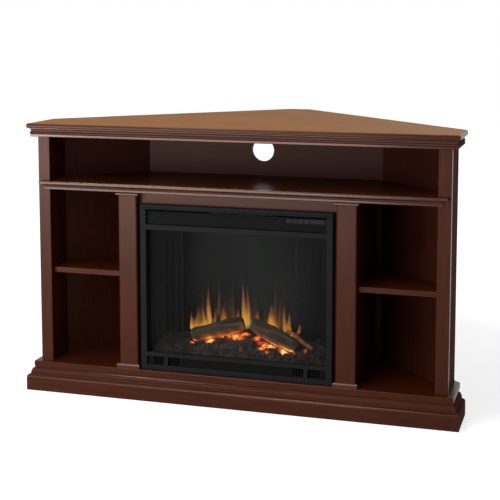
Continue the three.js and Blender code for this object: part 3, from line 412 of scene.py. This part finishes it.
def smoked_screen_shaded_ends():
    """Smoked plastic with a faint haze, and painted shade towards its two ends, behind the curtains."""
    screen = new_finish("smoked_screen_shaded_ends", Specular_IOR_Level=0.03)
    haze = speckle(screen, stretched(screen, (1.0, 1.0, 0.5)), 7, 3, 0.55, 0.8)
    smoke = ramp(screen, haze, [(0.3, (0.0075, 0.0082, 0.0075)), (0.75, (0.0150, 0.0160, 0.0148))])
    across = make(screen, "SeparateXYZ", {"Vector": in_place(screen)}, output="X")
    from_middle = compute(screen, "ABSOLUTE", across, 0)
    # painted shade: the screen darkens towards the curtains that hang in front of its ends
    curtain_shade = remap(screen, from_middle, 0, 0.95, CURTAIN_SHADE_START, CURTAIN_SHADE_FULL)
    connect(screen, mix(screen, curtain_shade, smoke, (0.0005, 0.0005, 0.0005)), "Base Color")
    connect(screen, remap(screen, haze, 0.42, 0.58), "Roughness")
    return screen


dress(frame_coat, "front_frame", "curtain_rod")
dress(casing_coat, "firebox_casing", "blower_housing", "vent_grille")
dress(fascia_plastic, "control_fascia", "cord_gland")
dress(key_plastic, "button_1", "button_2", "button_3", "button_4", ease=0.4 * MM)
dress(lens_plastic, "display_lens", ease=0.3 * MM)
dress(pin_steel, *[f"{side}_pin_{wall}_{place}" for side in SIDES
                   for wall in ("outer", "inner") for place in ("front", "rear")])
dress(bright_metal, "flicker_rod", "blower_drum")
dress(smoked_pane(), "glass_panel")
dress(smoked_screen_shaded_ends(), "flame_screen")
print("firebox dressed")

# %% [markdown]
# ## Tools for new meshes
# A new piece is a mesh from lists of points and faces, linked to the scene, given its finish, its
# material slot and the body that it rides on. All of those made here ride on the cabinet.

# %% Mesh helpers
def new_piece(name, points, faces, finish, body="cabinet"):
    mesh = bpy.data.meshes.new(name)
    mesh.from_pydata(points, [], faces)
    mesh.validate()
    mesh.polygons.foreach_set("use_smooth", [True] * len(mesh.polygons))
    mesh.materials.append(finish)
    piece = bpy.data.objects.new(name, mesh)
    bpy.context.collection.objects.link(piece)
    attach(piece, body)
    return piece


def fine_copy(node, voxel):
    """Points and faces of a CAD node's solid, rebuilt in even cells of that size."""
    copy = bpy.data.objects.new("fine_copy", nodes[node].data.copy())
    bpy.context.collection.objects.link(copy)
    remesh = copy.modifiers.new("even_cells", "REMESH")
    remesh.mode = "VOXEL"
    remesh.voxel_size = voxel
    whole = copy.evaluated_get(bpy.context.evaluated_depsgraph_get())
    mesh = bpy.data.meshes.new_from_object(whole)
    points = [vertex.co.copy() for vertex in mesh.vertices]
    normals = [vertex.normal.copy() for vertex in mesh.vertices]
    faces = [tuple(face.vertices) for face in mesh.polygons]
    bpy.data.objects.remove(copy)
    bpy.data.meshes.remove(mesh)
    return points, normals, faces


def paint(piece, name, values):
    """Stores one grey value for each point, for the finish to read."""
    layer = piece.data.color_attributes.new(name, "FLOAT_COLOR", "POINT")
    for entry, value in zip(layer.data, values):
        entry.color = (value, value, value, 1)


def painted(material, name):
    """Reads a value that `paint` stored."""
    return make(material, "Attribute", {}, output="Fac", attribute_name=name)


print("mesh helpers ready")

# %% [markdown]
# ## Where the fire is hot
# The real bed is moulded coal over lamps, so it glows in patches: nearly white where a lamp sits right
# behind a thin spot, deep red between. Each patch is a point on the bed or on a log, with how far it
# reaches and how hot it is. The coals and the logs both read this list.

# %% Glowing patches
CABINET_SHIFT = 353.75 * MM      # from the front of the posts back to the middle of the footprint


def inside(x, y, z):
    """A point by its distance from the middle, depth behind the front and height, in millimetres."""
    return Vector((x * MM, y * MM - CABINET_SHIFT, z * MM))


# distance from the middle, depth, height, reach, heat
PATCHES = [(inside(x, y, z), reach * MM, heat) for x, y, z, reach, heat in (
    (-152, 68, 157, 8, 0.95), (-102, 85, 163, 13, 1.15), (-73, 108, 175, 18, 0.60),
    (-50, 108, 176, 18, 0.60), (-28, 108, 176, 20, 0.78), (-6, 125, 181, 14, 0.85),
    (-12, 96, 170, 16, 0.62), (-41, 76, 148, 15, 0.72), (-56, 73, 149, 12, 0.60),
    (3, 49, 155, 6, 0.50), (36, 109, 174, 15, 0.62), (52, 90, 168, 12, 0.55),
    (63, 59, 161, 12, 0.72), (69, 79, 164, 12, 0.80), (86, 78, 161, 12, 0.90),
    (98, 77, 162, 11, 0.80), (84, 43, 157, 8, 0.55), (118, 70, 158, 10, 0.80), (131, 62, 155, 12, 1.15),
    (148, 60, 154, 9, 0.75), (165, 48, 157, 7, 0.50), (193, 66, 161, 8, 0.62), (238, 61, 155, 9, 0.26),
    (-194, 45, 150, 9, 0.22), (-223, 42, 146, 10, 0.20), (-254, 36, 143, 8, 0.18),
    (-3, 93, 213, 9, 0.50), (-148, 86, 172, 9, 0.32))]


FAR = 3                          # reaches away, where a patch gives next to nothing


def heat_at(point):
    """How hot the hottest patch makes a point; a patch fades like a bell curve."""
    hottest = 0.0
    for centre, reach, heat in PATCHES:
        away = (point - centre).length_squared / (reach * reach)
        if away < FAR * FAR:
            hottest = max(hottest, heat * math.exp(-away))
    return hottest


print(len(PATCHES), "glowing patches")

# %% [markdown]
# ## Coals
# The bed's solid is copied, cut into cells of two millimetres and pushed into lumps: each lump is one
# cell of a Voronoi pattern, high in its middle and low along its seams, with smaller lumps on top. The
# seams are where the light of the lamps comes through, so the glow is strongest there.

# %% Coal bed
COAL_CELL = 2.0 * MM
BIG_LUMP, SMALL_LUMP = 15 * MM, 6.5 * MM     # across
BIG_SEAM, SMALL_SEAM = 5.5 * MM, 1.8 * MM    # deep
LUMP_STEEPNESS = 1.6                         # how quickly a lump rises from its seams
BED_RIM = 6 * MM                             # lowest part of the bed, left flat
SEAM_LIFT = Vector((0, 0, 1.5 * MM))         # makes up for what the seams take away


def lump(point, cell):
    """0 on a seam between two lumps and 1 in the middle of one."""
    distances = noise.voronoi(point / cell)[0]
    return min(1.0, (distances[1] - distances[0]) * LUMP_STEEPNESS)


def coal_finish():
    coal = new_finish("moulded_coals", Specular_IOR_Level=0.3, Emission_Strength=1.15)
    ash = speckle(coal, in_place(coal), 260, 5, 0.65)
    broad = speckle(coal, in_place(coal), 34, 3)
    tone = compute(coal, "ADD", compute(coal, "MULTIPLY", ash, 0.6),
                   compute(coal, "MULTIPLY", broad, 0.4))
    colour = ramp(coal, tone, [(0.36, (0.0055, 0.0045, 0.004)), (0.5, (0.0165, 0.013, 0.010)),
                               (0.62, (0.047, 0.037, 0.025)), (0.74, (0.100, 0.076, 0.050))])
    connect(coal, colour, "Base Color")
    connect(coal, remap(coal, ash, 0.75, 0.98), "Roughness")
    connect(coal, raised(coal, ash, 1.6 * MM, 0.8), "Normal")
    heat = painted(coal, "ember_heat")
    flicker = remap(coal, speckle(coal, in_place(coal), 170, 3, 0.6), 0.45, 1.35, 0.3, 0.7)
    glow = compute(coal, "MULTIPLY", heat, flicker)
    connect(coal, ramp(coal, glow, [(0.10, (0, 0, 0)), (0.28, (0.16, 0.010, 0.002)),
                                    (0.50, (0.75, 0.075, 0.010)), (0.72, (1.0, 0.34, 0.045)),
                                    (0.95, (1.0, 0.80, 0.28))]), "Emission Color")
    return coal


points, normals, faces = fine_copy("ember_bed", COAL_CELL)
bed_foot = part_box("ember_bed")[0].z
elsewhere = Vector((3, 1, 2))                # so that the small lumps don't line up with the big ones
heats = []
for index, (point, normal) in enumerate(zip(points, normals)):
    big, small = lump(point, BIG_LUMP), lump(point + elsewhere, SMALL_LUMP)
    if point.z > bed_foot + BED_RIM:
        sink = BIG_SEAM * (1 - big) + SMALL_SEAM * (1 - small)
        points[index] = point - normal * sink + SEAM_LIFT
    heats.append(heat_at(point) * (0.7 + 0.5 * (1 - big) + 0.2 * (1 - small)))
coals = new_piece("coals", points, faces, coal_finish())
paint(coals, "ember_heat", heats)
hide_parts("ember_bed")
print("coals with", len(points), "points")

# %% [markdown]
# ## Logs
# Each log is cast in resin and painted: long bark ridges, a split or two and a lighter sawn end. The CAD
# log is copied and cut fine in the same way. Its points are then moved by noise that is stretched along
# the log's own axis, which gives ridges that follow the wood. The lower side glows and is painted
# orange-brown: partly the thin resin lit through by the lamps, partly painted firelight from the coals
# below.

# %% Log helpers
AXIS_ROUNDS = 20             # enough for the direction to settle


def axis_of(points):
    """Middle and direction of a long piece, from the spread of its points."""
    middle = sum(points, Vector()) / len(points)
    direction = max(points, key=lambda point: point.x) - min(points, key=lambda point: point.x)
    for _ in range(AXIS_ROUNDS):
        pull = Vector()
        for point in points:
            arm = point - middle
            pull += arm * arm.dot(direction)
        direction = pull.normalized()
    return middle, direction


def bark_finish(name, dark, middle, light, glow_strength):
    bark = new_finish(name, Specular_IOR_Level=0.25, Emission_Strength=glow_strength)
    ridge = painted(bark, "ridge")
    fibres = speckle(bark, in_place(bark), 420, 6, 0.7)
    tone = compute(bark, "ADD", compute(bark, "MULTIPLY", ridge, 0.65),
                   compute(bark, "MULTIPLY", fibres, 0.35))
    colour = ramp(bark, tone, [(0.25, dark), (0.5, middle), (0.72, light),
                               (0.85, tuple(1.5 * channel for channel in light))])
    heat = painted(bark, "ember_heat")
    # painted firelight: where the glow reaches, the bark's colour turns orange-brown
    painted_firelight = mix(bark, compute(bark, "MULTIPLY", heat, 0.8, clamp=True), colour, (0.10, 0.022, 0.006))
    connect(bark, painted_firelight, "Base Color")
    connect(bark, remap(bark, fibres, 0.7, 0.95), "Roughness")
    connect(bark, raised(bark, fibres, 1.2 * MM, 0.7), "Normal")
    seams = remap(bark, ridge, 1.2, 0.55, 0.2, 0.7)
    lit = compute(bark, "MULTIPLY", heat, remap(bark, fibres, 0.5, 1.5, 0.3, 0.7))
    glow = compute(bark, "MULTIPLY", lit, seams)
    connect(bark, ramp(bark, glow, [(0.08, (0, 0, 0)), (0.3, (0.10, 0.026, 0.005)),
                                    (0.55, (0.32, 0.085, 0.012)), (0.8, (0.9, 0.28, 0.04)),
                                    (1.1, (1.0, 0.60, 0.20))]), "Emission Color")
    return bark


BARK_CELL = 1.6 * MM
RIDGES_ROUND, RIDGES_ALONG = 42, 7       # how fast the bark's ridges change round the log and along it
CRACKS_ROUND, CRACKS_ALONG = 130, 16     # the same for the finer cracks on them
RIDGE_HEIGHT, DETAIL_HEIGHT = 2.6 * MM, 0.9 * MM
SAWN_END = 3 * MM            # this close to an end, the log is sawn flat and pale


def make_log(node, finish, seed, underglow):
    """Bark over a CAD log; seed picks its pattern, underglow is how much its lower side glows, as lamp
    light through the resin and as painted firelight from the coals.
    """
    points, normals, faces = fine_copy(node, BARK_CELL)
    middle, direction = axis_of(points)
    half = max(abs((point - middle).dot(direction)) for point in points)
    shift = Vector((seed, seed * 0.7, seed * 1.3))
    ridges, heats = [], []
    for index, (point, normal) in enumerate(zip(points, normals)):
        arm = point - middle
        run = arm.dot(direction)
        around = arm - direction * run
        coarse = around * RIDGES_ROUND + direction * run * RIDGES_ALONG + shift
        fine = around * CRACKS_ROUND + direction * run * CRACKS_ALONG + shift
        ridge = noise.ridged_multi_fractal(coarse, 1.0, 2.0, 3, 1.0, 2.0) / 2.4
        detail = noise.noise(fine)
        on_end = abs(run) > half - SAWN_END
        push = 0.0 if on_end else RIDGE_HEIGHT * (ridge - 0.55) + DETAIL_HEIGHT * detail
        points[index] = point + normal * push
        ridges.append(min(1.0, max(0.0, ridge * 0.8 + 0.25 * detail + (0.35 if on_end else 0))))
        # the lower side, facing the coals, gets lamp glow and painted firelight
        low = max(0.0, -normal.z)
        facing = max(0.0, -normal.y)
        heats.append(underglow * low * (0.35 + 0.65 * facing) + heat_at(point))
    piece = new_piece("bark_" + node, points, faces, finish)
    paint(piece, "ridge", ridges)
    paint(piece, "ember_heat", heats)
    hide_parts(node)
    return piece


print("log helpers ready")

# %% Three logs
brown_bark = bark_finish("brown_bark", (0.014, 0.009, 0.006), (0.055, 0.034, 0.020),
                         (0.145, 0.094, 0.055), 1.0)
ashy_bark = bark_finish("ashy_bark", (0.011, 0.009, 0.008), (0.041, 0.036, 0.029),
                        (0.103, 0.094, 0.075), 0.7)
for node, finish, seed, underglow in (("log_left", brown_bark, 3, 0.75),
                                      ("log_right", brown_bark, 11, 0.9),
                                      ("log_front", ashy_bark, 23, 0.25)):
    log = make_log(node, finish, seed, underglow)
    print(log.name, "with", len(log.data.vertices), "points")

# %% [markdown]
# ## Twig
# A forked twig leans on the right log, and its end lies on the coals. It is thin enough to be built as
# rings of points along a line: each ring is a little wider or narrower than the last, which makes the
# knots.

# %% Forked twig
TWIG_RING, TWIG_STEPS = 12, 30       # points round the twig, and rings along a branch


def branch(points, faces, spine, thick, thin, seed):
    """Rings of points along a spine of vectors, thick at its start and thin at its end."""
    ring, first, steps = TWIG_RING, len(points), TWIG_STEPS
    for step in range(steps + 1):
        share = step / steps
        place = share * (len(spine) - 1)
        index = min(int(place), len(spine) - 2)
        middle = spine[index].lerp(spine[index + 1], place - index)
        forwards = (spine[index + 1] - spine[index]).normalized()
        sideways = forwards.cross(Vector((0, 1, 0))).normalized()
        upwards = sideways.cross(forwards)
        for turn in range(ring):
            angle = 2 * math.pi * turn / ring
            out = sideways * math.cos(angle) + upwards * math.sin(angle)
            knot = 1 + 0.28 * noise.noise(middle * 90 + out * 1.4 + Vector((seed, 0, 0)))
            points.append(middle + out * (thick + (thin - thick) * share) * knot)
    for step in range(steps):
        for turn in range(ring):
            a = first + step * ring + turn
            b = first + step * ring + (turn + 1) % ring
            faces.append((a, b, b + ring, a + ring))
    faces.append(tuple(range(first + ring - 1, first - 1, -1)))
    faces.append(tuple(range(first + steps * ring, first + (steps + 1) * ring)))


points, faces = [], []
branch(points, faces, [inside(126, 106, 204), inside(160, 100, 190), inside(186, 92, 174),
                       inside(212, 84, 163)], 8.5 * MM, 5.5 * MM, 1)
branch(points, faces, [inside(158, 101, 190), inside(165, 106, 206), inside(166, 110, 224)],
       6 * MM, 3.2 * MM, 7)
twig = new_piece("forked_twig", points, faces, brown_bark)
paint(twig, "ridge", [0.5 + 0.5 * noise.noise(Vector(point) * 210) for point in points])
# painted firelight: the twig glows and turns orange-brown, more or less at random along it
paint(twig, "ember_heat", [0.35 + 0.6 * noise.noise(Vector(point) * 130) for point in points])
print(twig.name, "with", len(points), "points")

# %% [markdown]
# ## Flames
# The flames are light thrown on the smoked screen. Each tongue is a narrow sheet just in front of it,
# broad at the logs and drawn to a point, a little bent. Its finish gives off light and is clear at the
# rim and the tip, so that tongues melt into each other. They are listed left to right: foot and tip as
# distance from the middle and height, width, and brightness.

# %% Flame tongues
TONGUES = (
    (-150, 180, -142, 292, 84, 0.17), (-62, 192, -62, 308, 84, 0.14), (14, 192, 10, 322, 70, 0.14),
    (98, 186, 100, 312, 76, 0.16), (-184, 172, -187, 242, 15, 0.90), (-166, 174, -161, 262, 40, 0.50),
    (-172, 170, -172, 218, 50, 0.85), (-141, 182, -152, 274, 18, 0.60), (-125, 184, -134, 324, 24, 1.00),
    (-138, 178, -140, 230, 58, 0.85), (-112, 190, -106, 268, 16, 0.35), (-99, 214, -94, 362, 15, 0.30),
    (-82, 192, -80, 266, 36, 0.62), (-50, 196, -55, 356, 20, 0.20), (-35, 198, -37, 264, 18, 0.70),
    (-16, 190, -25, 356, 22, 0.85), (-13, 186, -18, 306, 32, 1.00), (-2, 190, -6, 332, 20, 0.90),
    (24, 198, 27, 262, 26, 0.45), (48, 196, 50, 304, 24, 0.15), (68, 192, 63, 284, 34, 0.90),
    (74, 190, 72, 250, 48, 0.60), (77, 212, 84, 368, 17, 0.28), (92, 190, 96, 334, 16, 0.30),
    (110, 182, 106, 292, 18, 0.62), (122, 172, 121, 268, 22, 0.85), (116, 168, 116, 228, 46, 1.00))
FAINT = 0.35                 # fainter tongues than this are cool from their feet up
TONGUE_ROWS = 24
TONGUE_COLUMNS = 8
SCREEN_GAP = 1.2 * MM
LAYERS, LAYER_GAP = 5, 0.5 * MM      # tongues that are neighbours in the list are in different layers
screen_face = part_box("flame_screen")[0].y


def tongue_width(part):
    """Share of the full width at that part of the height: full low down, a point at the tip."""
    return (0.55 + 0.45 * math.sin(min(1.0, part / 0.22) * math.pi / 2)) * (1 - part) ** 0.75


def flame_finish():
    flame = new_finish("flame_light", Base_Color=(0, 0, 0, 1), Roughness=1.0, Specular_IOR_Level=0.0,
                       Emission_Strength=1.0)
    height = painted(flame, "height")
    lick = speckle(flame, stretched(flame, (1.0, 1.0, 0.16)), 150, 3)
    cool = compute(flame, "ADD", height, compute(flame, "MULTIPLY", lick, 0.25))
    connect(flame, ramp(flame, cool, [(0.14, (1.0, 0.62, 0.15)), (0.42, (0.90, 0.40, 0.05)),
                                      (0.70, (0.52, 0.17, 0.045)), (0.92, (0.22, 0.085, 0.065)),
                                      (1.12, (0.10, 0.055, 0.075))]), "Emission Color")
    fade = remap(flame, lick, 0.6, 1.25, 0.3, 0.7)
    connect(flame, compute(flame, "MULTIPLY", painted(flame, "glow"), fade, clamp=True), "Alpha")
    flame.surface_render_method = "BLENDED"
    return flame


points, faces, heights, glows = [], [], [], []
for order, (foot_x, foot_z, tip_x, tip_z, width, light) in enumerate(TONGUES):
    first = len(points)
    depth = screen_face - SCREEN_GAP - (order % LAYERS) * LAYER_GAP
    coolness = 0.5 if light < FAINT else 0.0
    for row in range(TONGUE_ROWS + 1):
        part = row / TONGUE_ROWS
        bend = 0.12 * width * math.sin(math.pi * (1.6 * part + order * 0.37)) * part
        middle = foot_x + (tip_x - foot_x) * part + bend
        for column in range(TONGUE_COLUMNS + 1):
            side = 2 * column / TONGUE_COLUMNS - 1
            x = middle + side * width / 2 * tongue_width(part)
            z = foot_z + (tip_z - foot_z) * part
            points.append((x * MM, depth, z * MM))
            rim = (1 - side * side) ** 1.2
            glows.append(light * rim * (1 - part) ** 0.7 * min(1.0, 7 * part))
            heights.append(coolness + (1 - coolness) * part)
    for row in range(TONGUE_ROWS):
        for column in range(TONGUE_COLUMNS):
            corner = first + row * (TONGUE_COLUMNS + 1) + column
            above = corner + TONGUE_COLUMNS + 1
            faces.append((corner, corner + 1, above + 1, above))
flames = new_piece("flames", points, faces, flame_finish())
paint(flames, "height", heights)
paint(flames, "glow", glows)
print(len(TONGUES), "flame tongues")

# %% [markdown]
# ## Woven curtains
# The two curtains are steel wire, woven like a chain-link fence and pushed into folds. Each wire runs
# from top to bottom in a zigzag and hooks into the next at every turn. Making the wires, rather than
# painting holes on a sheet, gives the folds their density: where the cloth turns away the wires close
# up and it looks darker.

# %% Wire curtains
FOLD = 19 * MM               # from one fold to the next
WIRE_PITCH = 6.6 * MM        # from one wire to the next
WIRE_STEP = 3.6 * MM         # height of one turn of the zigzag
WIRE_RADIUS = 0.55 * MM
HOOK = 0.4 * MM              # how far a turn stands out to pass its neighbour's


def fold_line(low, high):
    """Points along one curtain's folds, with the distance run so far."""
    middle, swing = (low.y + high.y) / 2, (high.y - low.y) / 2 - WIRE_RADIUS
    line, run = [], 0.0
    steps = round((high.x - low.x) / (0.5 * MM))
    for step in range(steps + 1):
        x = low.x + (high.x - low.x) * step / steps
        spot = Vector((x, middle + swing * math.sin((x - low.x) / FOLD * 2 * math.pi), 0))
        if line:
            run += (spot - line[-1][1]).length
        line.append((run, spot))
    return line


def at_run(line, run):
    """The point and the sideways direction of the fold line at that distance."""
    run = min(max(run, 0.0), line[-1][0])
    for (start, first), (end, second) in zip(line, line[1:]):
        if run <= end:
            share = (run - start) / (end - start)
            return first.lerp(second, share), (second - first).normalized()
    return line[-1][1], Vector((1, 0, 0))


def wire(points, faces, spots):
    """A square wire through a list of (point, sideways direction)."""
    first = len(points)
    for spot, sideways in spots:
        outwards = Vector((0, 0, 1)).cross(sideways)
        for side, out in ((1, 0), (0, 1), (-1, 0), (0, -1)):
            points.append(spot + sideways * side * WIRE_RADIUS + outwards * out * WIRE_RADIUS)
    for ring in range(len(spots) - 1):
        for side in range(4):
            a = first + ring * 4 + side
            b = first + ring * 4 + (side + 1) % 4
            faces.append((a, b, b + 4, a + 4))
    faces.append(tuple(first + side for side in (3, 2, 1, 0)))
    faces.append(tuple(first + (len(spots) - 1) * 4 + side for side in range(4)))


for side in SIDES:
    node = "mesh_curtain_" + side
    low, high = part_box(node)
    line = fold_line(low, high)
    count = round(line[-1][0] / WIRE_PITCH)
    pitch = line[-1][0] / count
    turns = round((high.z - low.z) / WIRE_STEP)
    points, faces = [], []
    for column in range(count):
        spots = []
        for turn in range(turns + 1):
            swing = (0.5 if turn % 2 else -0.5) * (pitch - 2.2 * WIRE_RADIUS)
            spot, sideways = at_run(line, (column + 0.5) * pitch + swing)
            z = low.z + (high.z - low.z) * turn / turns
            hook = Vector((0, 0, 1)).cross(sideways) * (HOOK if turn % 2 else -HOOK)
            spots.append((Vector((spot.x, spot.y, z)) + hook, sideways))
        wire(points, faces, spots)
    weave = new_piece("wire_weave_" + side, points, faces, wire_steel)
    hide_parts(node)
    print(weave.name, "has", count, "wires and", len(points), "points")

# %% [markdown]
# ## Studio
# Dark lacquer shows its lamps more than its colour. A wide box at the front lights the face and the
# header, a small one at the left catches the upper post, and two narrow boxes overhead draw the thin
# lines of light along the mouldings. A weak one behind keeps the open back readable. Around them is an
# even sky. The white that the camera sees comes from the surround's own colour, not from more light on
# the cabinet, and the floor keeps the cabinet's soft shadow.

# %% White seen, soft light given
def seen_directly(tree):
    """1 where something is seen by the camera, in a gloss or through glass, and 0 for soft light."""
    path = tree.nodes.new("ShaderNodeLightPath")
    total = path.outputs["Is Camera Ray"]
    for kind in ("Is Glossy Ray", "Is Transmission Ray"):
        add = tree.nodes.new("ShaderNodeMath")
        add.operation = "ADD"
        add.use_clamp = True
        tree.links.new(total, add.inputs[0])
        tree.links.new(path.outputs[kind], add.inputs[1])
        total = add.outputs[0]
    return total


SKY = 0.2
world = bpy.data.worlds.new("studio")
world.use_nodes = True
bpy.context.scene.world = world
sky = world.node_tree.nodes["Background"]
sky.inputs["Color"].default_value = (SKY, SKY, SKY, 1)
white = world.node_tree.nodes.new("ShaderNodeBackground")
white.inputs["Color"].default_value = (1, 1, 1, 1)
choose = world.node_tree.nodes.new("ShaderNodeMixShader")
links = world.node_tree.links
links.new(seen_directly(world.node_tree), choose.inputs[0])
links.new(sky.outputs[0], choose.inputs[1])
links.new(white.outputs[0], choose.inputs[2])
links.new(choose.outputs[0], world.node_tree.nodes["World Output"].inputs[0])
print("sky at", SKY)

# %% Floor
FLOOR_HALF = 9.0
FLOOR_WHITE = 0.70           # added where the floor is seen, so that only the shadow is below white
SHADOW_END, ALL_WHITE = 0.9, 2.2     # from the middle: where the added white grows to full
floor_finish = new_finish("pale_floor", Roughness=0.9, Specular_IOR_Level=0.0,
                          Emission_Color=(1, 1, 1, 1))
connect(floor_finish, ramp(floor_finish, speckle(floor_finish, in_place(floor_finish), 3, 2),
                           [(0.3, (0.53, 0.53, 0.53)), (0.7, (0.56, 0.56, 0.56))]), "Base Color")
distance = make(floor_finish, "VectorMath", {0: in_place(floor_finish)}, output="Value",
                operation="LENGTH")
pale = remap(floor_finish, distance, FLOOR_WHITE, 1.0, SHADOW_END, ALL_WHITE)
connect(floor_finish, compute(floor_finish, "MULTIPLY", seen_directly(floor_finish.node_tree), pale),
        "Emission Strength")
floor_mesh = bpy.data.meshes.new("studio_floor")
floor_mesh.from_pydata([(-FLOOR_HALF, -FLOOR_HALF, 0), (FLOOR_HALF, -FLOOR_HALF, 0),
                        (FLOOR_HALF, FLOOR_HALF, 0), (-FLOOR_HALF, FLOOR_HALF, 0)], [], [(0, 1, 2, 3)])
floor_mesh.materials.append(floor_finish)
floor = bpy.data.objects.new("studio_floor", floor_mesh)
floor.location.z = cad_box[0].z - 0.2 * MM
bpy.context.collection.objects.link(floor)
print("floor", 2 * FLOOR_HALF, "m wide")

# %% Lamps
def soft_lamp(name, place, aim, width, height, radiance):
    """A rectangular soft box; its power comes from how bright its face should be."""
    lamp_data = bpy.data.lights.new(name, "AREA")
    lamp_data.shape = "RECTANGLE"
    lamp_data.size, lamp_data.size_y = width, height
    lamp_data.energy = radiance * math.pi * width * height
    lamp = bpy.data.objects.new(name, lamp_data)
    lamp.location = place
    lamp.rotation_euler = (Vector(aim) - Vector(place)).to_track_quat("-Z", "Y").to_euler()
    bpy.context.collection.objects.link(lamp)
    print(name, round(lamp_data.energy), "watts")


soft_lamp("front_softbox", (-0.9, -2.4, 0.58), (-0.1, -0.3, 0.5), 1.9, 0.85, 7.8)
soft_lamp("left_softbox", (-1.72, -2.35, 0.62), (-0.4, -0.3, 0.6), 0.42, 0.42, 17)
soft_lamp("strip_lamp", (-0.7, -2.3, 2.3), (0, -0.2, 0.5), 2.0, 0.07, 38)
soft_lamp("overhead_softbox", (-0.8, -1.2, 2.7), (-0.1, -0.3, 0.5), 1.5, 0.2, 28)
soft_lamp("rear_softbox", (0.9, 2.2, 2.0), (0, 0.1, 0.4), 1.4, 0.8, 6)
bpy.context.scene.view_settings.view_transform = "Standard"
